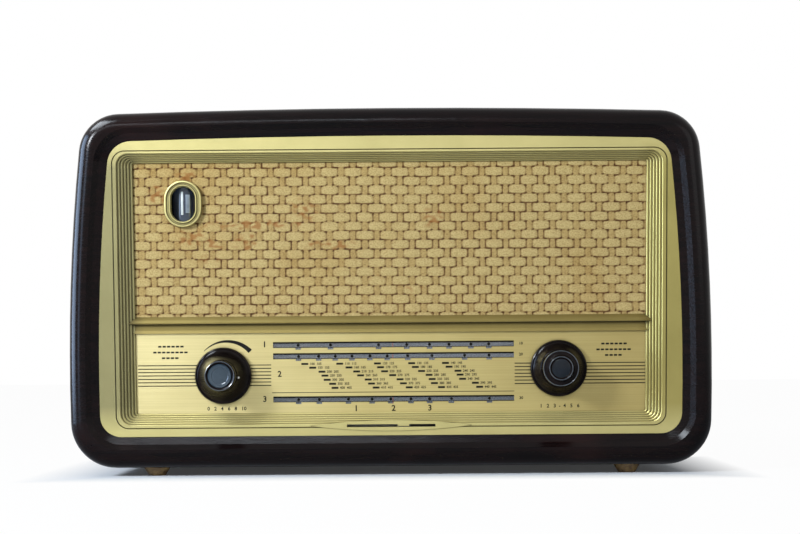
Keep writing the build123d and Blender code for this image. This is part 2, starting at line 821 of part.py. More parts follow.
def make_chassis():
    face_back = chassis_front + chassis_sheet
    middle = Pos(0, chassis_front + chassis_depth / 2)
    tray = upright(middle * Rectangle(2 * chassis_half, chassis_depth), chassis_bottom, deck_z)
    inner = Rectangle(2 * chassis_half + 2.0, chassis_depth - 2 * chassis_sheet)
    tray -= upright(middle * inner, chassis_bottom, deck_z - chassis_sheet)
    flange = Rectangle(2 * chassis_half, chassis_flange)
    for depth in (chassis_front + chassis_flange / 2, chassis_back - chassis_flange / 2):
        tray += upright(Pos(0, depth) * flange, chassis_bottom, chassis_bottom + chassis_sheet)
    for x, _ in bolt_places()[::2]:
        pad = Pos(x, chassis_front + chassis_depth / 2) * Rectangle(chassis_flange, chassis_depth)
        tray += upright(pad, chassis_bottom, chassis_bottom + chassis_sheet)
    for x in (-knob_x, knob_x):
        low = deck_z - 4.0
        tray += block(x, (low + upstand_top) / 2, 2 * upstand_half, upstand_top - low,
                      chassis_front, face_back)
    tray -= rod(-knob_x, left_knob_z, control_bush, chassis_front, face_back)
    tray -= rod(knob_x, right_knob_z, shaft_radius + running_gap, chassis_front, face_back)
    tray -= rod(switch_x, switch_z, switch_shaft_radius + running_gap, chassis_front, face_back)
    tray -= block(socket_row_x, row_z, 4 * socket_pitch, socket_block_height,
                  chassis_back - chassis_sheet, chassis_back)
    for x, depth in bolt_places():
        tray -= upright_shank(x, depth, chassis_bottom, chassis_bottom + chassis_sheet)
    parts["chassis"] = tray

    control = rod(-knob_x, left_knob_z, control_radius, face_back, face_back + control_depth)
    control += rod(-knob_x, left_knob_z, control_bush, chassis_front - 5.0, face_back)
    control -= rod(-knob_x, left_knob_z, shaft_radius + running_gap, chassis_front - 5.0, chassis_front + 5.0)
    parts["volume_control"] = control

    bolts = []
    for x, depth in bolt_places():
        seat = chassis_bottom + chassis_sheet
        bolt = upright_shank(x, depth, cabinet_bottom, seat)
        bolt += upright(Pos(x, depth) * RegularPolygon(screw_head_radius, 6), seat, seat + screw_head_height)
        bolts.append(bolt)
    parts["chassis_bolts"] = grouped(bolts)


def glass_valve(x, depth, height):
    """Miniature valve: straight glass and the sealed tip on top of it."""
    glass = upright(Pos(x, depth) * Circle(valve_radius), valve_low, valve_low + height)
    tip = RegularPolygon(valve_tip_radius, 6)
    return glass + upright(Pos(x, depth) * tip, valve_low + height, valve_low + height + valve_tip_height)


def transformer(x, depth, width, height, stack):
    """Laminated core on its edge and the coil that fills its two windows."""
    limb = width / 3
    tall = height - limb
    gap = width / 6
    face = Pos(x, deck_z + height / 2) * Rectangle(width, height)
    for side in (-1, 1):
        face -= Pos(x + side * (limb + gap) / 2, deck_z + height / 2) * Rectangle(gap, tall)
    core = slab(face, depth - stack / 2, depth + stack / 2)
    body = Rectangle(limb + 2 * (gap - seat_gap), stack + 2 * (gap - seat_gap))
    body = Pos(x, depth) * (chamfer(body.vertices(), gap / 2) - Rectangle(limb, stack))
    low = deck_z + (height - tall) / 2 + seat_gap
    coil = upright(body, low, low + tall - 2 * seat_gap)
    return core, coil


def make_deck():
    places = small_valve_places + power_valve_places
    sockets = [upright(Pos(x, depth) * RegularPolygon(socket_radius, 8), deck_z, valve_low)
               for x, depth in places]
    parts["valve_sockets"] = grouped(sockets)
    parts["small_valves"] = grouped([glass_valve(x, depth, small_valve_height)
                                     for x, depth in small_valve_places])
    parts["power_valves"] = grouped([glass_valve(x, depth, power_valve_height)
                                     for x, depth in power_valve_places])
    cans = []
    for x, depth in can_places:
        face = chamfer(Rectangle(can_size, can_size).vertices(), 3.0)
        cans.append(upright(Pos(x, depth) * face, deck_z, deck_z + can_height))
    parts["if_cans"] = grouped(cans)
    parts["smoothing_capacitor"] = upright(Pos(*smoothing_place) * Circle(smoothing_radius),
                                           deck_z, deck_z + smoothing_height)

    core, coil = transformer(*mains_transformer_place, *mains_transformer_size)
    parts["mains_transformer_core"] = core
    parts["mains_transformer_coil"] = coil
    core, coil = transformer(*output_transformer_place, *output_transformer_size)
    parts["output_transformer"] = core + coil

    depth = chassis_back - post_width
    line = Pos(0, front_y + depth, deck_z + ferrite_rise) * Rot(0, 90, 0)
    parts["ferrite_rod"] = line * Cylinder(ferrite_radius, ferrite_length)
    coils = []
    for place, length in ferrite_coil_places:
        former = Cylinder(ferrite_radius + coil_wall, length) - Cylinder(ferrite_radius, length)
        coils.append(line * Pos(0, 0, place) * former)
    parts["ferrite_coils"] = grouped(coils)
    posts = []
    for side in (-1, 1):
        height = ferrite_rise + post_width
        post = block(side * post_x, deck_z + height / 2, post_width, height,
                     depth - post_width, depth + post_width)
        posts.append(post - line * Cylinder(ferrite_radius, ferrite_length))
    parts["rod_posts"] = grouped(posts)


def make_capacitor():
    front = chassis_front + 3.0
    back = front + capacitor_length
    top = drum_z + stator_radius + 3.0
    frame = block(drum_x, deck_z + chassis_sheet / 2, capacitor_width, chassis_sheet, front, back)
    for place in (front, back - chassis_sheet):
        frame += block(drum_x, (deck_z + top) / 2, capacitor_width, top - deck_z,
                       place, place + chassis_sheet)
    frame -= rod(drum_x, drum_z, shaft_radius + running_gap, front, back)
    hub = shaft_radius + 2.0
    bar = 3.0
    for i in range(vane_count):
        place = front + 6.0 + vane_pitch * i
        vane = Circle(stator_radius) - Circle(hub + 1.0)
        vane = vane & Pos(-stator_radius / 2, 0) * Rectangle(stator_radius, 2 * stator_radius)
        frame += slab(Pos(drum_x, drum_z) * vane, place, place + vane_thickness)
    frame += block(drum_x - rotor_radius - 0.5 - bar / 2, drum_z, bar, 14.0, front, back)
    parts["capacitor_frame"] = frame

    rotor = rod(drum_x, drum_z, shaft_radius, cord_depth - drum_width / 2 - 2.0, back + 3.0)
    rotor += rod(drum_x, drum_z, hub, front + 2.0, back - 2.0)
    for i in range(vane_count - 1):
        place = front + 6.0 + vane_pitch * (i + 0.5)
        vane = Circle(rotor_radius) & Pos(0, -rotor_radius / 2) * Rectangle(2 * rotor_radius, rotor_radius)
        rotor += slab(Pos(drum_x, drum_z) * vane, place, place + vane_thickness)
    parts["capacitor_rotor"] = rotor


def make_band_switch():
    wafers = []
    first = chassis_front + 14.0
    stay = 1.6
    frame = None
    for i in range(2):
        place = first + wafer_pitch * i
        wafer = chamfer(Rectangle(wafer_size + 2.0, wafer_size).vertices(), 6.0)
        wafer = slab(Pos(switch_x, switch_z) * (wafer - Circle(switch_hub_radius + 0.6)),
                     place, place + wafer_thickness)
        frame = wafer if frame is None else frame + wafer
    for side in (-1, 1):
        x = switch_x + side * (wafer_size / 2 - 2.0)
        frame += block(x, switch_z, 2 * stay, 2 * stay, chassis_front + chassis_sheet, first + wafer_pitch + 4.0)
    parts["band_switch_frame"] = frame

    rotor = rod(switch_x, switch_z, switch_shaft_radius, chassis_front - 6.0, first + wafer_pitch + 6.0)
    for i in range(2):
        place = first + wafer_pitch * i
        disc = Pos(switch_x, switch_z) * RegularPolygon(switch_hub_radius, 8)
        rotor += slab(disc, place - 0.4, place + wafer_thickness + 0.4)
    rotor += block(switch_x, switch_z - 4.5, 5.0, 14.0, chassis_front - 6.0, chassis_front - 4.0)
    parts["band_switch_rotor"] = rotor


def make_speaker():
    inner = speaker_radius - speaker_rim_width
    flange = Rectangle(2 * speaker_radius, 2 * speaker_radius)
    flange = chamfer(flange.vertices(), speaker_radius * 0.2)
    flange = Pos(0, speaker_z) * (flange - Circle(inner))
    basket = slab(flange, board_back, speaker_rim)
    neck = rod(0, speaker_z, magnet_radius, speaker_back - speaker_flange, speaker_back)
    basket += neck - rod(0, speaker_z, cone_neck_radius + 1.0, speaker_back - speaker_flange, speaker_back)
    for angle in speaker_arm_angles:
        turn = radians(angle)
        reach = inner + 4.0
        plane = Plane(origin=(0, front_y, speaker_z), x_dir=(cos(turn), 0, sin(turn)),
                      z_dir=(-sin(turn), 0, cos(turn)))
        arm = make_face(Polyline(
            (reach, speaker_rim - 0.5), (reach, speaker_rim + 4.0),
            (magnet_radius - 2.0, speaker_back), (magnet_radius - 2.0, speaker_back - speaker_flange),
            (reach - 2.6, speaker_rim + 2.0), (reach - 2.6, speaker_rim - 0.5), close=True))
        basket += extrude(plane * arm, speaker_arm_width / 2, both=True)
    for x, z in speaker_screw_places():
        basket -= shank(x, z, board_back, speaker_rim)
    parts["speaker_basket"] = basket
    parts["speaker_screws"] = screws(speaker_screw_places(), speaker_rim, board_thickness + speaker_flange)

    throat = speaker_back - 12.0
    lip = speaker_rim - 1.0
    parts["speaker_cone"] = turned([
        (0, throat), (cone_neck_radius - cone_skin, throat), (inner - 1.0 - cone_skin, lip),
        (inner - 1.0, lip), (cone_neck_radius, throat + cone_skin), (cone_neck_radius, speaker_back),
        (0, speaker_back),
    ], 0, speaker_z)

    parts["speaker_magnet"] = rod(0, speaker_z, magnet_radius - 2.0, speaker_back, speaker_back + magnet_depth)


def make_back():
    board = cabinet_outline(shell_wall - back_lip + seat_gap)
    for row in range(slot_rows):
        for column in range(slot_columns):
            x = slot_column_pitch * (column - (slot_columns - 1) / 2)
            board -= Pos(x, slot_row_top - slot_row_pitch * row) * Rectangle(slot_length, slot_width)
    board -= Pos(socket_row_x, row_z) * Rectangle(5 * socket_pitch, 2 * socket_block_height)
    board -= Pos(selector_x, row_z) * Rectangle(2 * selector_half + 4.0, 2 * selector_half + 4.0)
    board -= Pos(cord_hole_x, row_z) * Circle(cord_hole_radius + grommet_wall)
    board = slab(board, back_front, back_face)
    for x, z in back_screw_places():
        board -= shank(x, z, back_front, back_face)
    parts["back_cover"] = board
    parts["back_screws"] = screws(back_screw_places(), back_face, back_thickness + 11.0)

    width = 4 * socket_pitch - 2 * seat_gap
    height = socket_block_height - 2 * seat_gap
    strip = block(socket_row_x, row_z, width, height, chassis_back - socket_inside, chassis_back)
    strip += block(socket_row_x, row_z, width + 6.0, height + 6.0, chassis_back,
                   chassis_back + socket_outside)
    for i in range(4):
        strip -= rod(socket_row_x + socket_pitch * (i - 1.5), row_z, socket_bore,
                     chassis_back - socket_inside, chassis_back + socket_outside)
    parts["socket_strip"] = strip

    hole = cord_hole_radius
    parts["cord_grommet"] = turned([
        (hole, back_front - 2.0), (hole + grommet_wall, back_front - 2.0),
        (hole + grommet_wall, back_face), (hole + 2 * grommet_wall, back_face),
        (hole + 2 * grommet_wall, back_face + 2.0), (hole, back_face + 2.0),
    ], cord_hole_x, row_z)

    end = chassis_back + selector_depth
    disc = selector_disc_radius
    base = block(selector_x, row_z, 2 * selector_half, 2 * selector_half, chassis_back, end)
    base -= rod(selector_x, row_z, disc + seat_gap, chassis_back + 2.0, end)
    parts["selector_base"] = base
    knob = rod(selector_x, row_z, disc, chassis_back + 2.0 + seat_gap, end + 0.5)
    knob -= block(selector_x, row_z, disc + 3.0, 2.0, end - 1.5, end + 0.5)
    parts["voltage_selector"] = knob


def make_feet():
    feet = [stood([(0, 0), (foot_tip_radius, 0), (foot_radius, foot_height), (0, foot_height)], x, depth, 0)
            for x, depth in foot_places()]
    parts["feet"] = grouped(feet)


make_cabinet()
make_bezel()
make_front_sheets()
make_eye()
make_knobs()
make_drive()
make_chassis()
make_deck()
make_capacitor()
make_band_switch()
make_speaker()
make_back()
make_feet()

os.makedirs("parts", exist_ok=True)
for name, shape in parts.items():
    export_step(shape, f"parts/{name}.step")
print(len(parts), "nodes written")
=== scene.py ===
# %% [markdown]
# # A valve table radio, dressed over its CAD frame
# The frame holds every solid at its real place and size, so this file only adds what the
# eye needs: fine turned knobs, a woven cloth, ink on the dial and a material for each piece.
# The scene is in metres. X runs to the right, Y into the depth and Z up.

# %% Load the frame
import math

import bmesh
import bpy
from mathutils import Matrix, Vector, noise


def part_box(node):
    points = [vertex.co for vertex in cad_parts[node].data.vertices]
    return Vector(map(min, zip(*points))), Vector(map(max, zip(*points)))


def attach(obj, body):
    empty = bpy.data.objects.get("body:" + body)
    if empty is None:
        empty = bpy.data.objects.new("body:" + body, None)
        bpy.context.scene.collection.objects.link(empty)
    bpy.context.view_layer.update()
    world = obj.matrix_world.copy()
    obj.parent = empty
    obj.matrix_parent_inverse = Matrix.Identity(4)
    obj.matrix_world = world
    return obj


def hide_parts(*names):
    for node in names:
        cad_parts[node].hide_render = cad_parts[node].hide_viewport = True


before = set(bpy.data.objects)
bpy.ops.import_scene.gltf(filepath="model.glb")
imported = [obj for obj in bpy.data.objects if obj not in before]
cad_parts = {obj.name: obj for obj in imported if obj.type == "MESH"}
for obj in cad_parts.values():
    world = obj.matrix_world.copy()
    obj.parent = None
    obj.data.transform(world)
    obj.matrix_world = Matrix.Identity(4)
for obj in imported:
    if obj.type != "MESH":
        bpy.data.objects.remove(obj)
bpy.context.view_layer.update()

# %% [markdown]
# Sizes on a radio are easiest to think of in millimetres, and depths are easiest to read
# from the ridge of the wooden front. One helper turns such a place into metres.

# %% Millimetres and depths behind the wooden ridge
MM = 0.001
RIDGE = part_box("front_frame")[0][1]
UPRIGHT = Matrix.Rotation(math.pi / 2, 4, "X")


def spot(x, depth, z):
    """A place given in millimetres, with its depth behind the front ridge."""
    return Vector((x * MM, RIDGE + depth * MM, z * MM))


def box_mm(node):
    """Lowest and highest corner of a node in millimetres, with depths from the ridge."""
    low, high = (Vector(corner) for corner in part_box(node))
    shift = Vector((0, RIDGE, 0))
    return (low - shift) / MM, (high - shift) / MM


plate_front = box_mm("dial_plate")[0].y
print("dial plate lies", round(plate_front, 2), "mm behind the ridge")

# %% [markdown]
# The camera comes first. The set was taken almost square on, from a little below and to the
# right of its middle, with the camera rolled by under half a degree. A shift of the lens
# keeps the verticals straight.

# %% Camera at the photograph's angle
CAMERA_X = 0.0236
CAMERA_Z = 0.0928
CAMERA_DISTANCE = 1.45
AIM_DEPTH = 8 * MM
CAMERA_ROLL = math.radians(-0.42)
CAMERA_LENS = 80.76
SENSOR_WIDTH = 36.0
LENS_SHIFT = (-0.025, 0.116)

camera_data = bpy.data.cameras.new("camera")
camera_data.sensor_width = SENSOR_WIDTH
camera_data.lens = CAMERA_LENS
camera_data.shift_x, camera_data.shift_y = LENS_SHIFT
camera = bpy.data.objects.new("camera", camera_data)
bpy.context.scene.collection.objects.link(camera)
place = Matrix.Translation((CAMERA_X, RIDGE + AIM_DEPTH - CAMERA_DISTANCE, CAMERA_Z))
camera.matrix_world = place @ UPRIGHT @ Matrix.Rotation(CAMERA_ROLL, 4, "Z")
bpy.context.scene.camera = camera

# %% [markdown]
# A material here is a small graph of nodes. Most finishes of a radio are the same idea at
# different scales: two close colours mixed by a noise that may be drawn out along a grain,
# a roughness that wanders a little, and a shallow bump. One helper builds that idea, and
# the finishes that need more get nodes of their own below.

# %% Nodes and links
WHITE = (1.0, 1.0, 1.0)
BLACK = (0.0, 0.0, 0.0)


def add_node(material, kind, **inputs):
    """Adds one node to a material, or to the world, and sets its named inputs."""
    node = material.node_tree.nodes.new(kind)
    for name, value in inputs.items():
        node.inputs[name].default_value = value
    return node


def connect(source, target):
    """Links an output to an input, in the node tree that both belong to."""
    source.id_data.links.new(source, target)


def feed(socket, value):
    """Gives an input its value: another node's output, a colour or a plain number."""
    if hasattr(value, "links"):
        connect(value, socket)
    elif isinstance(value, tuple):
        socket.default_value = (*value, 1.0)
    else:
        socket.default_value = value


def start_material(name, roughness=0.5, metallic=0.0, **shader):
    """A new material with its shader's plain values set."""
    material = bpy.data.materials.new(name)
    material.use_nodes = True
    surface = material.node_tree.nodes["Principled BSDF"]
    for socket, value in {"Roughness": roughness, "Metallic": metallic, **shader}.items():
        surface.inputs[socket.replace("_", " ")].default_value = value
    return material, surface


def paint(surface, colour, roughness=None):
    """Links a surface's colour and, where one is given, its roughness."""
    connect(colour, surface.inputs["Base Color"])
    if roughness is not None:
        connect(roughness, surface.inputs["Roughness"])


# %% [markdown]
# Noise and places are taken in a piece's own coordinates, so a finish stays on its piece
# when a joint moves it. A large stretch along two axes draws the noise out along the third.

# %% Places and noise
def object_axes(material):
    """Object coordinates as three single values, called X, Y and Z."""
    coordinates = add_node(material, "ShaderNodeTexCoord")
    parts = add_node(material, "ShaderNodeSeparateXYZ")
    connect(coordinates.outputs["Object"], parts.inputs["Vector"])
    return parts.outputs


def noise_field(material, scale, detail=4.0, rough=0.55, stretch=(1, 1, 1)):
    """A soft noise from 0 to 1, finer along the axes with a large stretch."""
    coordinates = add_node(material, "ShaderNodeTexCoord")
    mapping = add_node(material, "ShaderNodeMapping", Scale=stretch)
    field = add_node(material, "ShaderNodeTexNoise", Scale=scale, Detail=detail, Roughness=rough)
    connect(coordinates.outputs["Object"], mapping.inputs["Vector"])
    connect(mapping.outputs["Vector"], field.inputs["Vector"])
    return field.outputs["Fac"]


# %% [markdown]
# Between a noise and the surface stand small steps. A ramp turns a value into a colour, a
# range spreads it over other numbers, and a mix joins two colours.

# %% Values and colours
MIX_FACTOR, MIX_FIRST, MIX_SECOND, MIX_RESULT = 0, 6, 7, 2


def ramp(material, factor, *stops):
    """Colour ramp from (position, colour) pairs."""
    node = add_node(material, "ShaderNodeValToRGB")
    points = node.color_ramp.elements
    while len(points) < len(stops):
        points.new(0.5)
    for point, (position, colour) in zip(points, stops):
        point.position = position
        point.color = (*colour, 1.0)
    connect(factor, node.inputs["Fac"])
    return node.outputs["Color"]


def spread(material, factor, low, high, start=0.0, end=1.0):
    """Maps what lies between start and end onto the range from low to high."""
    limits = {"From Min": start, "From Max": end, "To Min": low, "To Max": high}
    node = add_node(material, "ShaderNodeMapRange", **limits)
    connect(factor, node.inputs["Value"])
    return node.outputs["Result"]


def calculate(material, operation, first, second=0.0):
    """One step of arithmetic on two values."""
    node = add_node(material, "ShaderNodeMath")
    node.operation = operation
    feed(node.inputs[0], first)
    feed(node.inputs[1], second)
    return node.outputs["Value"]


def mix_colour(material, factor, first, second, blend="MIX"):
    """Mixes two colours. The numbers above are the mix node's sockets for colours."""
    node = add_node(material, "ShaderNodeMix")
    node.data_type = "RGBA"
    node.blend_type = blend
    feed(node.inputs[MIX_FACTOR], factor)
    feed(node.inputs[MIX_FIRST], first)
    feed(node.inputs[MIX_SECOND], second)
    return node.outputs[MIX_RESULT]


def tinted(material, colour, tint, share=1.0):
    """A colour multiplied by a tint, whole or in part."""
    return mix_colour(material, share, colour, tint, "MULTIPLY")


# %% [markdown]
# The shade that falls in corners is painted into the colours. Ambient occlusion finds the
# corners by itself, so nothing has to be painted there by hand.

# %% Shade in corners, relief, and the common finish
FRONT_HALF = 0.24


def crevice_shade(material, colour, distance, darkest, open_at=0.85, closed_at=0.25):
    """Paints shade into a colour, darker in corners closer than a distance."""
    near = add_node(material, "ShaderNodeAmbientOcclusion", Distance=distance)
    shade = ramp(material, near.outputs["AO"], (closed_at, darkest), (open_at, WHITE))
    return tinted(material, colour, shade)


def across_front(material):
    """0 at the left end of the set and 1 at the right end."""
    return spread(material, object_axes(material)["X"], 0.0, 1.0, -FRONT_HALF, FRONT_HALF)


def bump(material, surface, height, strength, distance):
    """Makes a value between 0 and 1 show as relief on a surface."""
    node = add_node(material, "ShaderNodeBump", Strength=strength, Distance=distance)
    connect(height, node.inputs["Height"])
    connect(node.outputs["Normal"], surface.inputs["Normal"])


def finish(name, dark, light, rough=(0.4, 0.5), metallic=0.0, scale=60.0, stretch=(1, 1, 1),
           relief=0.1, **shader):
    """Two close colours over a noise, with a wandering roughness and a shallow bump."""
    material, surface = start_material(name, metallic=metallic, **shader)
    field = noise_field(material, scale, stretch=stretch)
    colour = ramp(material, field, (0.3, dark), (0.7, light))
    paint(surface, colour, spread(material, field, *rough))
    bump(material, surface, field, relief, distance=0.0004)
    return material


# %% [markdown]
# The cabinet is walnut under a very dark red-brown lacquer, old enough to carry fine
# scratches. Lacquer is a smooth coat, so the wood keeps a low roughness and nearly all
# its interest sits in faint grain, in scratches drawn out along X and in worn patches.

# %% Lacquered wood
def lacquered_wood():
    """Dark lacquer over a faint grain, with redder worn patches and fine scratches."""
    material, surface = start_material("lacquered wood", Specular_IOR_Level=0.11)
    grain = noise_field(material, scale=6.0, detail=6.0, stretch=(3, 40, 40))
    patch = noise_field(material, scale=9.0, detail=3.0)
    base = ramp(material, grain,
                (0.3, (0.0018, 0.0012, 0.0016)), (0.75, (0.0080, 0.0034, 0.0034)))
    worn = ramp(material, patch, (0.58, BLACK), (0.82, (0.014, 0.0045, 0.0035)))
    colour = mix_colour(material, 1.0, base, worn, "ADD")
    scratch = noise_field(material, scale=5.0, detail=8.0, rough=0.7, stretch=(14, 160, 260))
    gloss = spread(material, scratch, low=0.10, high=0.30, start=0.35, end=0.75)
    paint(surface, colour, gloss)
    bump(material, surface, scratch, strength=0.10, distance=0.0004)
    return material


# %% [markdown]
# The moulding round the window is plastic lacquered in pale gold. Light and shade are
# painted into its colour by place on the front: its upright parts are darker than its top
# and its bottom, and the left is darker and less yellow than the right. It is satin, with a
# roughness between a third and a half, and shade is painted between its reeds.

# %% Gilt moulding
FLANK_INNER, FLANK_OUTER = 0.200, 0.210
FLANK_MIDDLE = 0.153
FLANK_FULL, FLANK_END = 0.096, 0.117


def flank(material):
    """0 over the middle of the front and 1 on the upright parts of the moulding."""
    axes = object_axes(material)
    across = calculate(material, "ABSOLUTE", axes["X"])
    outward = spread(material, across, 0.0, 1.0, FLANK_INNER, FLANK_OUTER)
    above = calculate(material, "SUBTRACT", axes["Z"], FLANK_MIDDLE)
    rise = calculate(material, "ABSOLUTE", above)
    within = spread(material, rise, 1.0, 0.0, FLANK_FULL, FLANK_END)
    return calculate(material, "MULTIPLY", outward, within)


def gilt_moulding(name="gilt moulding", shade=WHITE):
    """Pale gold lacquer with painted light and shade. The shade paints a darker copy of it."""
    material, surface = start_material(name, metallic=0.7, Specular_IOR_Level=0.5)
    field = noise_field(material, scale=26.0, detail=5.0)
    fine = noise_field(material, scale=900.0, detail=2.0)
    # Painted light and shade: darker on the upright parts, and darker on the left than the
    # right.
    left, right, middle = (0.235, 0.21, 0.095), (0.34, 0.285, 0.088), (0.50, 0.435, 0.18)
    sides = mix_colour(material, across_front(material), left, right)
    colour = mix_colour(material, flank(material), middle, sides)
    colour = tinted(material, colour, shade)
    cloud = ramp(material, field, (0.25, (0.84, 0.84, 0.80)), (0.75, WHITE))
    colour = tinted(material, colour, cloud)
    # Painted shade in the grooves between the reeds.
    colour = crevice_shade(material, colour, distance=0.004, darkest=(0.10, 0.085, 0.05),
                      open_at=0.94, closed_at=0.42)
    paint(surface, colour, spread(material, fine, 0.38, 0.52))
    bump(material, surface, fine, strength=0.12, distance=0.0002)
    return material


# %% [markdown]
# The dial plate is thin metal brushed from side to side. One noise drawn out along X makes
# the brushing in colour, gloss and relief, so the three agree.

# %% Brushed dial plate
def brushed_dial():
    """Metal brushed along X, paler at the left where the light comes from."""
    material, surface = start_material("brushed dial", metallic=0.6)
    streak = noise_field(material, scale=4.0, stretch=(2, 40, 900))
    patch = noise_field(material, scale=12.0, detail=3.0)
    # Painted light: paler at the left, where the light comes from, and darker at the right.
    base = ramp(material, across_front(material), (0.0, (0.80, 0.70, 0.36)),
                (0.5, (0.58, 0.48, 0.20)), (1.0, (0.43, 0.34, 0.125)))
    lines = ramp(material, streak, (0.25, (0.80, 0.79, 0.74)), (0.75, WHITE))
    spots = ramp(material, patch, (0.3, (0.90, 0.88, 0.82)), (0.7, WHITE))
    base = tinted(material, tinted(material, base, lines), spots)
    # Painted shade in the corners, along the moulding's edge.
    base = crevice_shade(material, base, distance=0.012, darkest=(0.22, 0.18, 0.10), open_at=0.7)
    paint(surface, base, spread(material, streak, 0.3, 0.5))
    bump(material, surface, streak, strength=0.1, distance=0.0002)
    return material


# %% [markdown]
# Clear glass needs transmission instead of colour. The dial glass is a plain sheet, while
# the valves carry a grey film of getter on the inside, so they are darker.

# %% Glass
def clear_glass(name, colour, roughness):
    """Glass with a slightly uneven tint."""
    material, surface = start_material(name, roughness=roughness, Transmission_Weight=0.9,
                                       IOR=1.45)
    field = noise_field(material, scale=40.0, detail=2.0)
    tint = ramp(material, field, (0.3, colour), (0.7, tuple(0.9 * c for c in colour)))
    paint(surface, tint)
    return material


# %% [markdown]
# Everything else takes the common finish. Metals and paints come first. A high metallic
# value makes a metal, and a paint is told by its colour alone.

# %% Metals and paints
steel = finish("plated steel", (0.42, 0.42, 0.39), (0.60, 0.60, 0.56),
               rough=(0.3, 0.45), metallic=0.9, scale=120.0)
brass = finish("brass", (0.50, 0.36, 0.13), (0.68, 0.52, 0.22),
               rough=(0.3, 0.42), metallic=0.9, scale=150.0)
alloy = finish("alloy", (0.60, 0.61, 0.62), (0.76, 0.77, 0.78),
               rough=(0.32, 0.44), metallic=0.85, scale=110.0)
iron = finish("core iron", (0.06, 0.055, 0.05), (0.12, 0.11, 0.10),
              rough=(0.5, 0.65), metallic=0.3, scale=30.0, stretch=(1, 60, 1), relief=0.4)
winding = finish("wound wire", (0.24, 0.11, 0.04), (0.45, 0.24, 0.10),
                 rough=(0.35, 0.5), metallic=0.4, scale=30.0, stretch=(1, 1, 90), relief=0.6)
ferrite = finish("ferrite", (0.025, 0.025, 0.028), (0.06, 0.06, 0.065),
                 rough=(0.45, 0.6), metallic=0.1, scale=150.0)
grey_paint = finish("painted iron", (0.12, 0.12, 0.125), (0.19, 0.19, 0.20),
                    rough=(0.4, 0.55), scale=90.0)
red_paint = finish("pointer red", (0.42, 0.05, 0.03), (0.62, 0.10, 0.06),
                   rough=(0.3, 0.45), scale=220.0)
slate_paint = finish("slate paint", (0.13, 0.15, 0.18), (0.19, 0.21, 0.25), rough=(0.45, 0.6))

# %% [markdown]
# Then come boards, papers and moulded pieces, and the special finishes get their names.

# %% Boards, papers, mouldings and glass
black = finish("black moulding", (0.018, 0.018, 0.018), (0.04, 0.04, 0.04),
               rough=(0.35, 0.5), scale=140.0)
laminate = finish("brown board", (0.13, 0.07, 0.035), (0.24, 0.14, 0.075),
                  rough=(0.6, 0.8), scale=200.0, relief=0.3)
plywood = finish("plywood", (0.34, 0.23, 0.13), (0.52, 0.38, 0.23),
                 rough=(0.6, 0.75), scale=20.0, stretch=(1, 18, 18), relief=0.3)
cone_paper = finish("cone paper", (0.045, 0.04, 0.036), (0.09, 0.08, 0.075),
                    rough=(0.8, 0.95), scale=260.0, relief=0.5)
waxed_paper = finish("waxed paper", (0.42, 0.32, 0.17), (0.60, 0.48, 0.29),
                     rough=(0.5, 0.65), scale=110.0, relief=0.3)
foot_rubber = finish("worn foot", (0.10, 0.05, 0.02), (0.34, 0.22, 0.08),
                     rough=(0.45, 0.7), scale=260.0, relief=0.4)
eye_blue = finish("eye glass", (0.022, 0.032, 0.052), (0.050, 0.070, 0.105),
                  rough=(0.05, 0.12), scale=40.0)
lacquer = lacquered_wood()
gilt = gilt_moulding()
# A copy of the gilt painted darker, as shade, for the divider bar whose cove lies in shade.
shaded_gilt = gilt_moulding("shaded gilt", (0.40, 0.35, 0.24))
dial_metal = brushed_dial()
dial_glass = clear_glass("dial glass", (0.80, 0.84, 0.88), roughness=0.02)
valve_glass = clear_glass("valve glass", (0.62, 0.66, 0.70), roughness=0.03)

# %% [markdown]
# The table gives each CAD node its material, so no node is left with a single colour.

# %% A material for every node
node_materials = {}
for material, names in (
    (lacquer, ("cabinet_shell", "front_frame")),
    (gilt, ("bezel", "magic_eye_ring")),
    (shaded_gilt, ("divider_bar",)),
    (dial_metal, ("dial_plate",)),
    (dial_glass, ("dial_glass",)),
    (slate_paint, ("dial_backplate",)),
    (plywood, ("baffle_board", "back_battens", "speaker_cloth")),
    (black, ("volume_knob", "band_ring", "tuning_knob", "magic_eye_holder", "socket_strip",
             "cord_grommet", "voltage_selector", "band_indicator")),
    (laminate, ("back_cover", "valve_sockets", "selector_base", "band_switch_frame")),
    (steel, ("chassis", "chassis_bolts", "spindle_bracket", "pointer_rail", "speaker_basket",
             "speaker_screws", "baffle_screws", "back_screws", "tuning_spindle",
             "volume_shaft", "capacitor_frame", "band_switch_rotor")),
    (brass, ("band_lever", "idler_pulley_left", "idler_pulley_right")),
    (alloy, ("dial_drum", "capacitor_rotor", "if_cans", "smoothing_capacitor",
             "volume_control")),
    (iron, ("mains_transformer_core", "output_transformer")),
    (winding, ("mains_transformer_coil",)),
    (grey_paint, ("speaker_magnet",)),
    (cone_paper, ("speaker_cone",)),
    (ferrite, ("ferrite_rod",)),
    (waxed_paper, ("ferrite_coils", "rod_posts", "dial_cord")),
    (valve_glass, ("small_valves", "power_valves")),
    (eye_blue, ("magic_eye_valve",)),
    (red_paint, ("dial_pointer",)),
    (foot_rubber, ("feet",)),
):
    for name in names:
        node_materials[name] = material

for name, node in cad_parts.items():
    node.data.materials.clear()
    node.data.materials.append(node_materials[name])
print("materials given to", len(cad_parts), "nodes")

# %% [markdown]
# The studio is a pale floor in a white world. Under the set the camera sees the floor as it
# is lit, so the soft shadow stays. Further out it sees nearly plain white.

# %% Floor
FLOOR_HALF = 6.0
SHADE_HALF = (("X", 0.235), ("Y", 0.095))
SHADE_FADE = 0.06
WHITE_NEAR, WHITE_FAR = 0.04, 0.97


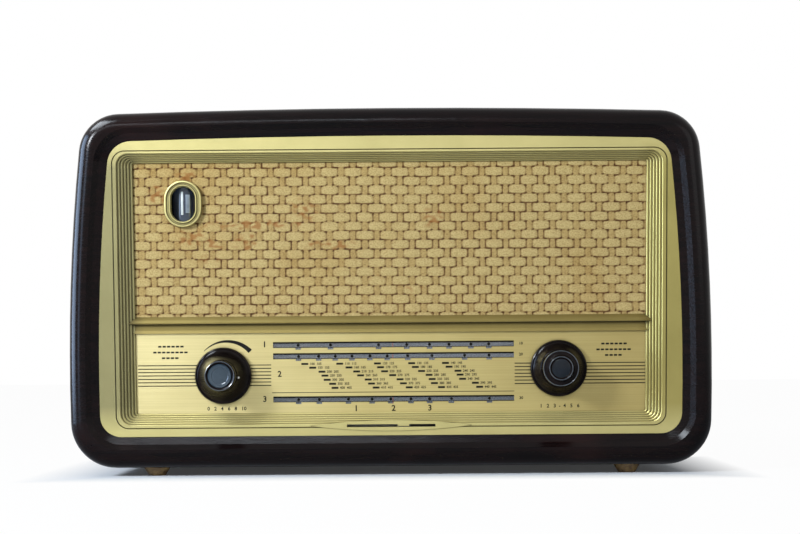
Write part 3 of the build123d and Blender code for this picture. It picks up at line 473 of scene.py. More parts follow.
def floor_material():
    """Pale paper that turns to plain white for the camera, away from the set."""
    material, surface = start_material("studio floor", roughness=0.9, Specular_IOR_Level=0.1)
    field = noise_field(material, scale=3.0)
    tone = ramp(material, field, (0.3, (0.80, 0.87, 0.95)), (0.7, (0.83, 0.89, 0.97)))
    paint(surface, tone)
    white = add_node(material, "ShaderNodeEmission", Color=(*WHITE, 1.0), Strength=1.0)
    axes = object_axes(material)
    beyond = [calculate(material, "SUBTRACT", calculate(material, "ABSOLUTE", axes[axis]), half)
              for axis, half in SHADE_HALF]
    furthest = calculate(material, "MAXIMUM", *beyond)
    share = spread(material, furthest, WHITE_NEAR, WHITE_FAR, 0.0, SHADE_FADE)
    path = add_node(material, "ShaderNodeLightPath")
    seen = calculate(material, "MULTIPLY", path.outputs["Is Camera Ray"], share)
    blend = add_node(material, "ShaderNodeMixShader")
    connect(seen, blend.inputs["Fac"])
    connect(surface.outputs["BSDF"], blend.inputs[1])
    connect(white.outputs["Emission"], blend.inputs[2])
    output = material.node_tree.nodes["Material Output"]
    connect(blend.outputs["Shader"], output.inputs["Surface"])
    return material


def studio_floor():
    """One large square that the set stands on."""
    mesh = bpy.data.meshes.new("floor")
    shape = bmesh.new()
    bmesh.ops.create_grid(shape, x_segments=1, y_segments=1, size=FLOOR_HALF)
    shape.to_mesh(mesh)
    shape.free()
    floor = bpy.data.objects.new("floor", mesh)
    bpy.context.scene.collection.objects.link(floor)
    mesh.materials.append(floor_material())


studio_floor()

# %% [markdown]
# The world is plain white to the camera and in gloss and glass, and dim for everything
# else. The key lamp at the upper left is small enough to cast a shadow. The strips show
# only in gloss, where they draw the highlights on the round wood.

# %% World and lamps
WORLD_LEVEL = 0.21
SET_MIDDLE = (0, 0, 0.15)


def studio_world(level):
    """White where the world itself is seen, and a dim light on matt things."""
    world = bpy.data.worlds.new("studio")
    bpy.context.scene.world = world
    world.use_nodes = True
    background = world.node_tree.nodes["Background"]
    path = add_node(world, "ShaderNodeLightPath")
    seen = calculate(world, "MAXIMUM", path.outputs["Is Camera Ray"],
                     path.outputs["Is Transmission Ray"])
    either = calculate(world, "MAXIMUM", seen, path.outputs["Is Glossy Ray"])
    connect(spread(world, either, level, 1.0), background.inputs["Strength"])
    background.inputs["Color"].default_value = (*WHITE, 1.0)


def area_lamp(name, place, target, size, power, tint=WHITE):
    """A rectangular lamp at a place, turned towards its target."""
    data = bpy.data.lights.new(name, "AREA")
    data.shape = "RECTANGLE"
    data.size, data.size_y = size
    data.energy = power
    data.color = tint
    lamp = bpy.data.objects.new(name, data)
    bpy.context.scene.collection.objects.link(lamp)
    direction = Vector(target) - Vector(place)
    aim = direction.to_track_quat("-Z", "Y").to_matrix().to_4x4()
    lamp.matrix_world = Matrix.Translation(place) @ aim
    return lamp


def strip_lamp(name, place, target, size, power, tint=(0.84, 0.92, 1.0)):
    """A softbox that only shows in gloss, as a strip beside the set does in a studio."""
    lamp = area_lamp(name, place, target, size, power, tint)
    lamp.visible_diffuse = False


studio_world(WORLD_LEVEL)
area_lamp("key", (-1.45, -1.35, 0.95), SET_MIDDLE,
          size=(0.4, 0.4), power=48.0, tint=(0.93, 0.96, 1.0))
area_lamp("fill", (1.6, -1.6, 0.9), SET_MIDDLE, size=(1.2, 1.2), power=6.0)
strip_lamp("left strip", (-1.75, -0.08, 0.45), (-0.26, -0.05, 0.18),
           size=(1.0, 1.3), power=75.0, tint=(0.52, 0.70, 1.0))
strip_lamp("corner strip", (-1.1, -0.5, 1.5), (-0.25, -0.1, 0.28),
           size=(1.3, 0.55), power=75.0)
strip_lamp("front strip", (-0.5, -1.6, 1.05), (-0.05, -0.1, 0.05),
           size=(1.1, 0.08), power=6.0)
strip_lamp("roll strip", (-1.3, -1.25, 0.55), (-0.26, -0.1, 0.18),
           size=(0.35, 1.1), power=9.0, tint=(0.50, 0.68, 1.0))
bpy.context.scene.view_settings.view_transform = "Standard"

# %% [markdown]
# Every new piece ends the same way: its bmesh becomes a mesh with smooth faces and sharp
# edges, gets its material and rides on the body that carries it. The piece's object stays
# at the origin, with its place in its points, just as the CAD nodes have it.

# %% From bmesh to a riding piece
def make_piece(name, shape, material, body, sharp=35.0):
    """Ends a bmesh as a piece. Edges that turn by more than sharp degrees stay crisp."""
    bmesh.ops.remove_doubles(shape, verts=shape.verts, dist=1e-7)
    bmesh.ops.recalc_face_normals(shape, faces=shape.faces)
    mesh = bpy.data.meshes.new(name)
    shape.to_mesh(mesh)
    shape.free()
    mesh.shade_smooth()
    mesh.set_sharp_from_angle(angle=math.radians(sharp))
    mesh.materials.append(material)
    piece = bpy.data.objects.new(name, mesh)
    bpy.context.scene.collection.objects.link(piece)
    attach(piece, body)
    print(name, len(mesh.polygons), "faces")
    return piece


# %% [markdown]
# Knobs are turned parts, so each is a profile of radius against depth, spun round the
# shaft. Some ends carry a thin bead in a lighter colour, a painted highlight.

# %% Turning and the knobs' finishes
KNOB_STEPS = 96
BEAD = 0.42
BEAD_STEPS = 8

knob_gloss = finish("knob moulding", (0.0045, 0.0035, 0.0035), (0.011, 0.0075, 0.007),
                    rough=(0.08, 0.18), scale=70.0, relief=0.03, Specular_IOR_Level=0.08)
knob_insert = finish("knob insert", (0.016, 0.029, 0.042), (0.036, 0.058, 0.080),
                     rough=(0.16, 0.26), relief=0.03)
dark_insert = finish("dark insert", (0.006, 0.009, 0.013), (0.012, 0.017, 0.024),
                     rough=(0.12, 0.2), relief=0.03, Specular_IOR_Level=0.2)
# A lighter colour for the beads: a painted highlight on the knobs' rims.
rim_highlight_paint = finish("knob rim", (0.030, 0.037, 0.046), (0.055, 0.066, 0.080),
                    rough=(0.12, 0.2), scale=300.0, relief=0.03)


def turned_shape(profile, x, z):
    """Spins a profile of (radius, depth) in millimetres about a line along the depth."""
    shape = bmesh.new()
    points = [shape.verts.new(spot(x + radius, depth, z)) for radius, depth in profile]
    edges = [shape.edges.new(pair) for pair in zip(points, points[1:])]
    bmesh.ops.spin(shape, geom=points + edges, cent=spot(x, 0, z), axis=(0, 1, 0),
                   angle=math.tau, steps=KNOB_STEPS, use_merge=True)
    return shape


def knob_centre(node):
    """A knob's middle in x and z, and the depths of its front and its back."""
    low, high = box_mm(node)
    return ((low.x + high.x) / 2, (low.z + high.z) / 2), low.y, high.y


def knob_part(name, profile, centre, material, body):
    """One turned part of a knob, on the body that turns with it."""
    return make_piece(name, turned_shape(profile, *centre), material, body)


volume_centre, knob_front, knob_back = knob_centre("volume_knob")
tuning_centre = knob_centre("tuning_knob")[0]


def from_front(*points):
    """Points of a profile, with depths measured from the front of the knobs."""
    return [(radius, knob_front + depth) for radius, depth in points]


def rim(name, radius, depth, centre, body):
    """A thin bead round the end of a knob, lighter than the knob: a painted highlight."""
    front = knob_front + depth
    profile = [(radius + BEAD * math.cos(turn), front + BEAD + BEAD * math.sin(turn))
               for turn in (math.tau * step / BEAD_STEPS for step in range(BEAD_STEPS + 1))]
    knob_part(name, profile, centre, rim_highlight_paint, body)


# %% [markdown]
# The volume knob is a thin skirt with a bead, a hollow cone that rises from it and a cap
# with a dished end. The cap is a blue-grey insert, and its rim is a lighter bead that
# paints the highlight.

# %% Volume knob
skirt = [(radius, knob_back - height) for radius, height in (
    (0.0, 0.0), (22.5, 0.0), (22.95, 0.4), (22.95, 2.2), (22.5, 3.1), (21.7, 3.5),
    (21.0, 3.2), (20.4, 3.6))]
volume_cone = [(18.2, 8.6), (16.0, 5.4), (14.4, 2.2), (13.2, -0.6), (12.5, -2.5)]
volume_cap = from_front((12.4, 1.6), (12.1, 1.0), (11.5, 0.6), (10.9, 0.7), (10.2, 1.2),
                        (9.8, 2.1), (9.5, 2.2), (0.0, 2.2))
volume_piece = knob_part("volume_knob_turned", skirt + volume_cone + volume_cap,
                         volume_centre, knob_gloss, "volume")
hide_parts("volume_knob")
knob_part("volume_cap_insert",
          from_front((0.0, 2.4), (9.6, 2.3), (9.6, 1.9), (8.8, 1.2), (7.4, 1.6), (6.9, 1.5),
                     (6.4, 1.9), (0.0, 2.1)),
          volume_centre, knob_insert, "volume")
rim("volume_cap_rim", 11.5, 0.0, volume_centre, "volume")

# %% [markdown]
# The right side is two knobs on one line: a ring with the same skirt for the wave band, and
# a stepped boss in its middle for tuning.

# %% Band ring and tuning knob
ring_bore = 5.0
ring_floor = 8.5
band_cone = [(18.8, 8.8), (17.2, 6.0), (15.9, 3.6), (15.2, 2.3), (14.9, 2.1),
             (14.85, ring_floor), (ring_bore, ring_floor), (ring_bore, knob_back)]
ring_piece = knob_part("band_ring_turned", [(ring_bore, knob_back)] + skirt[1:] + band_cone,
                       tuning_centre, knob_gloss, "band")
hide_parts("band_ring")
boss = [(0.0, 8.1), (14.35, 8.1)] + from_front(
    (14.35, 4.2), (14.0, 3.3), (13.3, 3.0), (11.6, 3.0), (10.9, 2.7), (10.4, 1.2),
    (9.9, 0.7), (9.2, 0.6), (8.5, 0.7), (7.9, 1.4), (7.5, 1.9), (0.0, 2.2))
boss_piece = knob_part("tuning_knob_turned", boss, tuning_centre, knob_gloss, "tuning")
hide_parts("tuning_knob")
knob_part("tuning_cap_insert",
          from_front((0.0, 2.4), (7.6, 2.3), (7.6, 1.9), (7.2, 1.7), (0.0, 1.9)),
          tuning_centre, dark_insert, "tuning")
rim("tuning_boss_rim", 13.9, 2.7, tuning_centre, "tuning")
rim("tuning_cap_rim", 9.2, 0.0, tuning_centre, "tuning")

# %% [markdown]
# A small white dot pressed into the volume knob's cone shows how far it is turned. It is a
# ball, half sunk, and it rides with the knob.

# %% Index dot of the volume knob
DOT_RADIUS = 0.95
DOT_X, DOT_DEPTH, DOT_Z = 13.6, 0.1, -1.4
dot_paint = finish("index dot", (0.72, 0.71, 0.66), (0.85, 0.84, 0.80),
                   rough=(0.3, 0.4), scale=400.0, relief=0.05)


def index_dot():
    """The dot, placed from the middle of the knob."""
    x, z = volume_centre
    shape = bmesh.new()
    bmesh.ops.create_uvsphere(shape, u_segments=20, v_segments=12, radius=DOT_RADIUS * MM)
    bmesh.ops.translate(shape, verts=shape.verts, vec=spot(x + DOT_X, DOT_DEPTH, z + DOT_Z))
    make_piece("volume_index_dot", shape, dot_paint, "volume")


index_dot()

# %% [markdown]
# The tuning eye looks out of a long rounded ring. It is turned like a knob, from the back
# of the outer wall over two rims and the sunk band to the inner wall, and then its upper
# and lower halves are drawn apart, which gives it straight sides.

# %% Tuning eye ring
RIM_REACH = 3.8
OPENING_REACH = 4.4
RIM_FROM = 12.4
MIDLINE = -0.001

ring_low, ring_high = box_mm("magic_eye_ring")
eye_x = (ring_low.x + ring_high.x) / 2
eye_z = (ring_low.z + ring_high.z) / 2
ring_profile = [(10.95, plate_front), (15.15, plate_front)]
ring_profile += [(radius, ring_low.y + depth) for radius, depth in (
    (15.15, 0.7), (14.85, 0.1), (14.45, 0.0), (13.75, 0.0), (13.5, 0.4), (13.35, 1.3),
    (11.45, 1.3), (11.3, 0.5), (11.0, 0.0), (10.5, 0.0), (10.15, 0.5), (9.85, 1.6))]
ring_profile += [(9.6, ring_high.y), (10.95, ring_high.y), (10.95, plate_front)]


def drawn_apart(shape, x, z):
    """Moves the upper half of a round piece up and the lower half down."""
    for point in shape.verts:
        across = point.co.x / MM - x
        up = point.co.z / MM - z
        reach = RIM_REACH if math.hypot(across, up) > RIM_FROM else OPENING_REACH
        point.co.z += (reach if up > MIDLINE else -reach) * MM
    return shape


eye_shape = drawn_apart(turned_shape(ring_profile, eye_x, eye_z), eye_x, eye_z)
eye_ring = make_piece("magic_eye_bezel", eye_shape, gilt, "cabinet",
                      sharp=50.0)
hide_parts("magic_eye_ring")

# %% [markdown]
# Behind the ring stands the eye valve, dark blue glass with a narrow pale target that
# shows through it. The target is a thin upright strip laid just on the glass, and a wider,
# dimmer strip beside it is a painted highlight on the glass.

# %% Target of the tuning eye
STRIP_THICKNESS = 0.3
STRIP_BEVEL = 0.1
target_glow = finish("eye target", (0.46, 0.52, 0.54), (0.66, 0.72, 0.72),
                     rough=(0.3, 0.4), scale=120.0, relief=0.05)
# A dim bluish strip that paints the soft highlight on the eye's glass.
eye_highlight_paint = finish("eye highlight", (0.13, 0.17, 0.22), (0.24, 0.29, 0.36),
                     rough=(0.2, 0.3), scale=150.0, relief=0.05)


def eye_strip(name, x, z, width, height, material):
    """A thin upright strip that leans with the round glass of the eye."""
    low, high = box_mm("magic_eye_valve")
    radius = (high.x - low.x) / 2
    sunk = radius - math.sqrt(radius ** 2 - (abs(x) - width / 2) ** 2)
    lean = Matrix.Rotation(math.asin(x / radius), 3, "Z")
    shape = bmesh.new()
    bmesh.ops.create_cube(shape, size=1.0)
    bmesh.ops.scale(shape, verts=shape.verts,
                    vec=Vector((width, STRIP_THICKNESS, height)) * MM)
    bmesh.ops.rotate(shape, verts=shape.verts, cent=(0, 0, 0), matrix=lean)
    bmesh.ops.translate(shape, verts=shape.verts,
                        vec=spot(eye_x + x, low.y + sunk, eye_z + z))
    bmesh.ops.bevel(shape, geom=shape.edges[:], offset=STRIP_BEVEL * MM, segments=2,
                    profile=0.5, affect="EDGES", material=-1)
    make_piece(name, shape, material, "cabinet")


eye_strip("magic_eye_target", x=-1.2, z=1.0, width=1.9, height=19.0, material=target_glow)
# The painted highlight beside the target.
eye_strip("magic_eye_highlight", x=3.4, z=0.5, width=3.6, height=15.0, material=eye_highlight_paint)

# %% [markdown]
# The speaker cloth is the largest thing in view. It is a basket weave: flat cream pads
# about 14 mm long lie in rows, each row moved by half a step, and between two pads a pale
# strand comes to the front. A fine grid is lifted by a formula for that weave, and the
# same formula stores how high and how much strand each point is, so the colours can never
# slide off the relief. A slow noise keeps rows and pads from being quite regular.

# %% The weave as a formula
PAD_STEP = 19.09
ROW_STEP = 7.39
PAD_X = -125.4
ROW_Z = 245.8
PAD_HALF_LENGTH = 7.35
PAD_HALF_HEIGHT = 3.82
PAD_END_POWER = 3.4
PAD_SIDE_POWER = 5.0
PAD_CROWN = 0.38
PAD_VARIATION = 0.07
ROW_WANDER, ROW_RIPPLE, PAD_WANDER = 0.6, 0.3, 0.7
STRAND_HALF = 2.45
STRAND_HEIGHT = 0.72


def drift(x, z, along, up, layer):
    """A smooth random value, fixed for each place and layer."""
    return noise.noise(Vector((x * along, z * up, layer)))


def weave(x, z):
    """Height of the cloth from 0 to 1 and its share of strand, at a place in millimetres."""
    wander = drift(x, z, 0.02, 0.03, layer=3.0)
    ripple = drift(x, z, 0.09, 0.12, layer=9.0)
    z += ROW_WANDER * wander + ROW_RIPPLE * ripple - ROW_Z
    x += PAD_WANDER * drift(x, z, 0.05, 0.11, layer=21.0) - PAD_X
    row = math.floor(z / ROW_STEP + 0.5)
    across = z / ROW_STEP - row
    x += 0.5 * PAD_STEP * (1 + row % 2)
    along = x % PAD_STEP - PAD_STEP / 2
    rise = abs(across * ROW_STEP)
    size = 1.0 + PAD_VARIATION * drift(math.floor(x / PAD_STEP), row, 1.7, 2.3, layer=5.0)
    end = (abs(along) / (PAD_HALF_LENGTH * size)) ** PAD_END_POWER
    side = (rise / PAD_HALF_HEIGHT) ** PAD_SIDE_POWER
    pad = max(0.0, 1.0 - (end + side)) ** PAD_CROWN
    # The lower edge of each pad sinks, and the colour, which follows the height, paints shade
    # there.
    if across < 0:
        pad *= 1.0 - 0.5 * (2 * abs(across)) ** 7
    gap = (PAD_STEP / 2 - abs(along)) / STRAND_HALF
    strand = (STRAND_HEIGHT * max(0.0, 1.0 - gap ** 4) ** 0.5
              * (1.0 - 0.35 * (2 * abs(across)) ** 4))
    if strand > pad:
        return strand, 1.0
    return pad, 0.0


# %% [markdown]
# The stains lie at places of their own: each is an oval with a depth, broken up by a noise.
# The list gives the middle, half the length, half the height and the depth.

# %% Stains on the cloth
STAIN_EDGE = 0.16
STAIN_CONTRAST = 2.6
STAINS = (
    (-162.5, 193.3, 10, 7, 0.9), (-143.9, 188.2, 8, 5, 0.9), (-164.6, 242.9, 11, 5, 0.7),
    (-189.1, 227.6, 7, 9, 0.8), (-111, 203.4, 42, 4, 0.8), (-49, 186.8, 26, 4, 0.6),
    (35, 208.2, 9, 8, 0.7), (-72, 214, 14, 10, 0.6), (-150, 176, 16, 5, 0.4),
    (-118, 190, 12, 8, 0.6), (18, 152, 14, 7, 0.35), (-10, 160, 8, 8, 0.35),
    (96, 200, 12, 5, 0.3),
)


def stain(x, z):
    """How soiled the cloth is, from 0 to 1."""
    soil = 0.0
    for centre_x, centre_z, half_length, half_height, depth in STAINS:
        reach = ((x - centre_x) / half_length) ** 2 + ((z - centre_z) / half_height) ** 2
        soil = max(soil, depth * math.exp(-reach))
    broken = 0.5 + 1.7 * drift(x, z, 0.21, 0.30, layer=33.0)
    return min(1.0, max(0.0, STAIN_CONTRAST * (soil * broken - STAIN_EDGE)))


# %% [markdown]
# The colours follow the stored height: dark brown in the gaps, a painted shade, then cream
# on the pads and the strands, with a fine speckle of threads, slow clouds and the stains
# over it.

# %% Colours of the cloth
GAP_BROWN = (0.055, 0.022, 0.007)


def stored(material, name):
    """A value kept in the points of the mesh."""
    value = add_node(material, "ShaderNodeAttribute")
    value.attribute_name = name
    return value.outputs["Fac"]


def cloth_material():
    """Woven cloth, coloured by what the weave stored."""
    material, surface = start_material("speaker cloth", roughness=0.85, Specular_IOR_Level=0.2)
    height = stored(material, "height")
    # Low places are painted dark: a painted shade in the gaps and under the pads.
    pads = ramp(material, height, (0.0, GAP_BROWN), (0.40, (0.14, 0.065, 0.018)),
                (0.58, (0.33, 0.23, 0.085)), (0.80, (0.51, 0.395, 0.165)))
    strands = ramp(material, height, (0.0, GAP_BROWN), (0.36, (0.15, 0.075, 0.022)),
                   (0.60, (0.43, 0.31, 0.115)))
    base = mix_colour(material, stored(material, "strand"), pads, strands)
    thread = noise_field(material, scale=800.0, detail=3.0, rough=0.7, stretch=(1, 1, 2.6))
    speckle = ramp(material, thread, (0.36, (0.50, 0.43, 0.33)), (0.54, WHITE))
    base = tinted(material, base, speckle, 0.85)
    cloud = noise_field(material, scale=11.0, detail=5.0, rough=0.65)
    cloud = ramp(material, cloud, (0.50, WHITE), (0.78, (0.80, 0.68, 0.50)))
    base = tinted(material, base, cloud, 0.8)
    base = mix_colour(material, stored(material, "stain"), base, (0.27, 0.105, 0.022))
    # Painted shade at the edges, where the cloth meets the moulding.
    base = crevice_shade(material, base, distance=0.011, darkest=(0.16, 0.12, 0.07), open_at=0.7)
    paint(surface, base)
    bump(material, surface, thread, strength=0.35, distance=0.0003)
    return material


# %% [markdown]
# The cloth is stretched over the board, so it stays flat as a whole. It is cut out behind
# the eye's ring, whose sleeve passes through it.

# %% Speaker cloth
CLOTH_CELL = 0.95
CLOTH_RELIEF = 0.6
CLOTH_THICKNESS = 0.15
STAIN_STRENGTH = 0.75
SLEEVE = 11.2


def cloth_shape(low, high):
    """A fine grid between two corners, raised by the weave and with its values stored."""
    width, height = high.x - low.x, high.z - low.z
    shape = bmesh.new()
    bmesh.ops.create_grid(shape, x_segments=round(width / CLOTH_CELL),
                          y_segments=round(height / CLOTH_CELL), size=0.5)
    level = shape.verts.layers.float.new("height")
    strand = shape.verts.layers.float.new("strand")
    soil = shape.verts.layers.float.new("stain")
    for point in shape.verts:
        x = low.x + (point.co.x + 0.5) * width
        z = low.z + (point.co.y + 0.5) * height
        rise, share = weave(x, z)
        point[level] = rise
        point[strand] = share
        point[soil] = STAIN_STRENGTH * stain(x, z)
        point.co = spot(x, high.y - CLOTH_THICKNESS - CLOTH_RELIEF * rise, z)
    return shape


def cut_for_eye(shape):
    """Opens the cloth behind the eye's ring and returns the area cut, in square mm."""
    reach = (ring_high.z - ring_low.z - (ring_high.x - ring_low.x)) / 2
    hole = []
    for patch in shape.faces:
        middle = patch.calc_center_median()
        x = middle.x / MM - eye_x
        z = max(0.0, abs(middle.z / MM - eye_z) - reach)
        if math.hypot(x, z) < SLEEVE + CLOTH_CELL:
            hole.append(patch)
    bmesh.ops.delete(shape, geom=hole, context="FACES")
    return math.pi * SLEEVE ** 2 + 4 * SLEEVE * reach


def speaker_cloth():
    """The stretched sheet in place of the CAD cloth."""
    low, high = box_mm("speaker_cloth")
    shape = cloth_shape(low, high)
    cut_area = cut_for_eye(shape)
    cloth = make_piece("speaker_cloth_woven", shape, cloth_material(), "cabinet",
                       sharp=180.0)
    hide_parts("speaker_cloth")


speaker_cloth()

# %% [markdown]
# The dial's print is black ink on the plate. Real ink has no height worth seeing, so the
# marks stand only a twentieth of a millimetre proud. There are no words: bars, dots and
# plain numbers take their places.

# %% Ink
INK_RISE = 0.05
DIGIT_SHARE = 0.70
DIGIT_WEIGHT = 0.035
# The ink also paints the shadows along the slots' edges.
ink_and_shadow = finish("ink and painted shadow", (0.006, 0.006, 0.005), (0.014, 0.013, 0.011),
             rough=(0.45, 0.6), scale=300.0, relief=0.05, Specular_IOR_Level=0.08)


def bar(shape, x, z, width, height, depth=None):
    """Thin flat bar, of print or of painted shadow, centred on a place in millimetres."""
    points = bmesh.ops.create_cube(shape, size=1.0)["verts"]
    bmesh.ops.scale(shape, verts=points, vec=Vector((width, INK_RISE, height)) * MM)
    level = plate_front if depth is None else depth
    bmesh.ops.translate(shape, verts=points, vec=spot(x, level - INK_RISE / 2, z))


def number(shape, words, x, z, height, align="CENTER"):
    """Printed digits of a height in millimetres, centred on a line of text."""
    curve = bpy.data.curves.new("digits", "FONT")
    curve.body = words
    curve.size = height * MM / DIGIT_SHARE
    curve.align_x = align
    curve.align_y = "CENTER"
    curve.extrude = INK_RISE * MM / 2
    curve.offset = DIGIT_WEIGHT * height * MM
    curve.resolution_u = 2
    text = bpy.data.objects.new("digits", curve)
    bpy.context.scene.collection.objects.link(text)
    bpy.context.view_layer.update()
    mesh = bpy.data.meshes.new_from_object(text)
    mesh.transform(Matrix.Translation(spot(x, plate_front - INK_RISE / 2, z)) @ UPRIGHT)
    shape.from_mesh(mesh)
    bpy.data.objects.remove(text)
    bpy.data.curves.remove(curve)
    bpy.data.meshes.remove(mesh)


# %% [markdown]
# Fine stripes lead from the ends of the plate to the scales. Between the scales stands a
# table in slanting columns. Its rows are short bars and numbers that count up.

# %% Stripes and the table of numbers
STRIPES = 7
STRIPE_TOP = 89.5
STRIPE_STEP = 2.76
STRIPE_HEIGHT = 0.75
STRIPE_ENDS = ((-151.4, 108.1), (153.4, 106.0))
TABLE_LINE = (1.6, 66.9, 196.7, 0.5)
TABLE_BAR = (5.6, 1.6)
TABLE_DIGIT = 1.9
TABLE_GAP = 4.0
TABLE = (
    (90.1, (-70.0, -41.6, -11.0, 16.8, 44.3)),
    (87.0, (-63.6, -34.1, -8.5, 19.8, 47.2)),
    (83.7, (-56.1, -27.9, -5.2, 24.8, 54.4)),
    (80.5, (-53.7, -24.7, 1.3, 30.9, 56.1)),
    (77.1, (-51.9, -18.6, 7.3, 33.4, 58.1)),
    (73.8, (-47.5, -15.9, 10.0, 35.2, 68.5)),
    (70.5, (-45.6, -12.2, 14.7, 40.9, 71.9)),
)


def dial_stripes():
    """Fine stripes from each end of the plate to the scales, and a line under the table."""
    shape = bmesh.new()
    for line in range(STRIPES):
        for x, length in STRIPE_ENDS:
            bar(shape, x, STRIPE_TOP - STRIPE_STEP * line, length, STRIPE_HEIGHT)
    bar(shape, *TABLE_LINE)
    make_piece("dial_stripes", shape, ink_and_shadow, "cabinet")


def dial_table():
    """Rows of short bars, each followed by two plain numbers."""
    shape = bmesh.new()
    count = 100
    for z, columns in TABLE:
        for x in columns:
            bar(shape, x, z, *TABLE_BAR)
            number(shape, f"{count}  {count + 5}", x + TABLE_GAP, z, TABLE_DIGIT, "LEFT")
            count += 10
    make_piece("dial_table", shape, ink_and_shadow, "cabinet")


# %% [markdown]
# Large numbers mark the wave bands and small ones stand by the scales and the knobs. Rows
# of dashes fill the two blocks beside the knobs.

# %% Single numbers and rows of dashes
BAND_DIGIT, SCALE_DIGIT, KNOB_DIGIT = 4.6, 2.2, 2.9
DASH_STEP = 3.6
DASH_LENGTH, DASH_HEIGHT = 2.7, 1.4


def dial_numbers():
    """The large numbers of the wave bands and the small ones, and dashes by the knobs."""
    shape = bmesh.new()
    for words, x, z in (("1", -102.6, 106.0), ("2", -90.5, 81.9), ("3", -102.6, 61.6),
                        ("1", -28.5, 53.6), ("2", 1.9, 53.6), ("3", 31.4, 53.6)):
        number(shape, words, x, z, BAND_DIGIT)
    for words, z in (("10", 105.6), ("20", 96.7), ("30", 61.3)):
        number(shape, words, 105.6, z, SCALE_DIGIT)
    number(shape, "0   2   4   6   8   10", -133.5, 54.1, KNOB_DIGIT)
    number(shape, "1   2   3  -  4   5   6", 136.8, 54.6, KNOB_DIGIT)
    for x in (-179.0, 181.0):
        for z, width in ((104.9, 21.0), (100.2, 29.0), (95.6, 15.0)):
            first = x - width / 2 + DASH_STEP / 2
            for step in range(round(width / DASH_STEP)):
                bar(shape, first + DASH_STEP * step, z, DASH_LENGTH, DASH_HEIGHT)
    make_piece("dial_numbers", shape, ink_and_shadow, "cabinet")


# %% [markdown]
# A wedge shows which way is louder. A flat grid bent to an arc keeps even steps along it,
# and pushing out its faces gives the ink its height.

# %% Wedge round the volume knob
WEDGE_X, WEDGE_Z = -133.2, 83.0
WEDGE_RADIUS = 25.9
WEDGE_START, WEDGE_SWEEP = 136.0, 93.0
WEDGE_THIN, WEDGE_GROWTH = 0.4, 3.4


def volume_wedge():
    """A wedge that grows round the volume knob, laid out on a grid and bent to an arc."""
    shape = bmesh.new()
    bmesh.ops.create_grid(shape, x_segments=28, y_segments=1, size=0.5)
    for point in shape.verts:
        share = point.co.x + 0.5
        turn = math.radians(WEDGE_START - WEDGE_SWEEP * share)
        radius = WEDGE_RADIUS + point.co.y * (WEDGE_THIN + WEDGE_GROWTH * share)
        point.co = spot(WEDGE_X + radius * math.cos(turn), plate_front,
                        WEDGE_Z + radius * math.sin(turn))
    front = bmesh.ops.extrude_face_region(shape, geom=shape.faces[:])
    moved = [item for item in front["geom"] if isinstance(item, bmesh.types.BMVert)]
    bmesh.ops.translate(shape, verts=moved, vec=(0, -INK_RISE * MM, 0))
    make_piece("volume_wedge", shape, ink_and_shadow, "cabinet")


# %% [markdown]
# The three slots carry marks on the glass: a dark bar along the upper edge and a thin one
# along the lower edge, both painted shadow, and a printed dot at each notch. The list gives
# each slot's height and how far its notches lie from its left end.

# %% Marks along the slots
SLOTS = (
    (105.6, (20.4, 46.7, 85.8, 108.7, 127.2, 143.0, 160.8, 175.3)),
    (96.5, (20.6, 37.0, 50.5, 64.1, 78.6, 92.7, 109.4, 129.1, 155.6, 175.5)),
    (61.4, (20.5, 37.3, 61.0, 80.2, 95.4, 111.8, 127.0, 144.6, 175.6)),
)
SLOT_LEFT = -95.75
SLOT_LENGTH = 195.7
SLOT_SHADOWS = ((1.75, 1.3), (-2.15, 0.5))
MARK_RADIUS = 1.25
MARK_DROP = 0.3


def slot_marks():
    """Painted shadow along the edges, and printed dots, on the glass seen through the slots."""
    shape = bmesh.new()
    glass = box_mm("dial_glass")[0].y
    middle = SLOT_LEFT + SLOT_LENGTH / 2
    for z, notches in SLOTS:
        # Painted shadow: dark bars along the slot's upper and lower edges.
        for above, thickness in SLOT_SHADOWS:
            bar(shape, middle, z + above, SLOT_LENGTH, thickness, glass)
        for notch in notches:
            made = bmesh.ops.create_circle(shape, cap_ends=True, segments=14,
                                           radius=MARK_RADIUS * MM)
            place = spot(SLOT_LEFT + notch, glass - INK_RISE, z - MARK_DROP)
            bmesh.ops.transform(shape, verts=made["verts"],
                                matrix=Matrix.Translation(place) @ UPRIGHT)
    make_piece("slot_marks", shape, ink_and_shadow, "cabinet")


dial_stripes()
dial_table()
dial_numbers()
volume_wedge()
slot_marks()

# %% [markdown]
# The wave band is shown by a small gilt tab behind a slot in the lower moulding. Its carrier
# is black, so only the tab itself is seen, and it slides with the carrier.

# %% Tab of the band indicator
TAB_WIDTH, TAB_THICKNESS, TAB_HEIGHT = 9.3, 0.2, 2.6
TAB_X, TAB_Z = 9.8, 41.0


def band_tab():
    """The tab's face, laid on the front of its carrier."""
    front = box_mm("band_indicator")[0].y
    print("band indicator lies", round(front, 2), "mm behind the ridge")
    shape = bmesh.new()
    bmesh.ops.create_cube(shape, size=1.0)
    bmesh.ops.scale(shape, verts=shape.verts,
                    vec=Vector((TAB_WIDTH, TAB_THICKNESS, TAB_HEIGHT)) * MM)
    bmesh.ops.translate(shape, verts=shape.verts,
                        vec=spot(TAB_X, front - TAB_THICKNESS / 2, TAB_Z))
    make_piece("band_tab_face", shape, gilt, "band_flag")


band_tab()

# %% [markdown]
# Behind the plate one long loop of yarn goes round both idlers, the tuning spindle and the
# big drum. It is pulled tight, so it is made of straight runs that touch the wheels and of
# arcs that lie on them, all in one plane. The list gives each wheel's middle and the radius
# of the cord's middle on it.

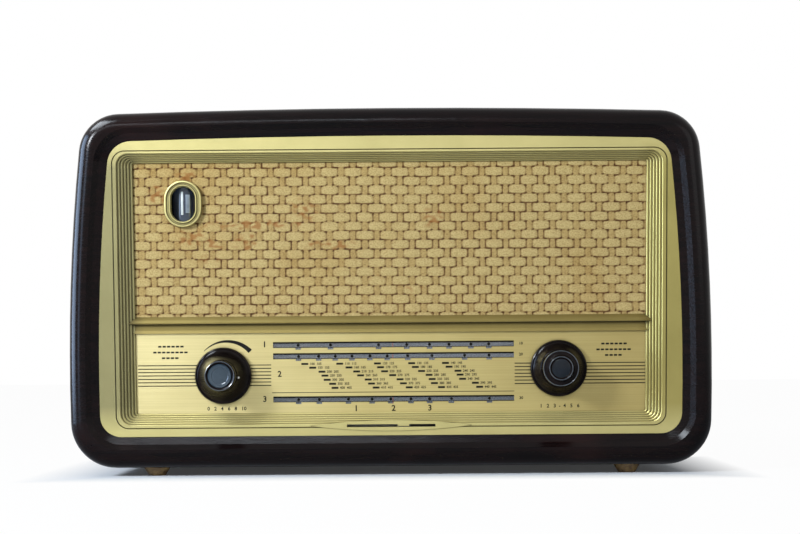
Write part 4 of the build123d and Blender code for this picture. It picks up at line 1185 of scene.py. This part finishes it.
# %% Drive cord
WHEELS = ((-104.0, 128.3, 7.7), (104.0, 128.3, 7.7), (136.0, 85.2, 4.0), (40.0, 80.0, 51.7))
CORD_DEPTH = 31.0
CORD_RADIUS = 0.4
CORD_REACH = 9.0
CORD_TURN = 0.2


def on_wheel(wheel, angle):
    """The place of the cord on a wheel, at an angle from the right."""
    x, z, radius = wheel
    return Vector((x + radius * math.cos(angle), z + radius * math.sin(angle)))


def cord_route():
    """Points along the tight loop, in millimetres."""
    pairs = list(zip(WHEELS, WHEELS[1:] + WHEELS[:1]))
    normals = []
    for (x1, z1, r1), (x2, z2, r2) in pairs:
        lean = math.asin((r2 - r1) / math.hypot(x2 - x1, z2 - z1))
        normals.append(math.atan2(z2 - z1, x2 - x1) + math.pi / 2 + lean)
    route = []
    for index, (here, there) in enumerate(pairs):
        normal = normals[index]
        start, end = on_wheel(here, normal), on_wheel(there, normal)
        count = max(2, round((end - start).length / CORD_REACH))
        route += [start.lerp(end, step / count) for step in range(count)]
        turn = (normal - normals[(index + 1) % len(normals)]) % math.tau
        count = max(4, round(turn / CORD_TURN))
        route += [on_wheel(there, normal - turn * step / count) for step in range(count)]
    return route


def drive_cord():
    """A round yarn along the route, in place of the CAD cord."""
    route = cord_route()
    shape = bmesh.new()
    rings = []
    for index, here in enumerate(route):
        along = (route[(index + 1) % len(route)] - route[index - 1]).normalized()
        points = bmesh.ops.create_circle(shape, segments=10, radius=CORD_RADIUS * MM)["verts"]
        place = Matrix.Translation(spot(here.x, CORD_DEPTH, here.y))
        turn = Matrix.Rotation(math.atan2(along.x, along.y), 4, "Y")
        bmesh.ops.transform(shape, verts=points, matrix=place @ turn)
        rings.append(list({edge for point in points for edge in point.link_edges}))
    for first, second in zip(rings, rings[1:] + rings[:1]):
        bmesh.ops.bridge_loops(shape, edges=first + second)
    yarn = finish("cord yarn", (0.36, 0.29, 0.16), (0.60, 0.51, 0.33),
                  rough=(0.7, 0.9), scale=900.0, relief=0.4)
    cord = make_piece("dial_cord_loop", shape, yarn, "cabinet", sharp=60.0)
    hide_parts("dial_cord")
    length = sum((here - there).length for here, there in zip(route, route[1:] + route[:1]))
    print("drive cord", round(length, 1), "mm round")


drive_cord()
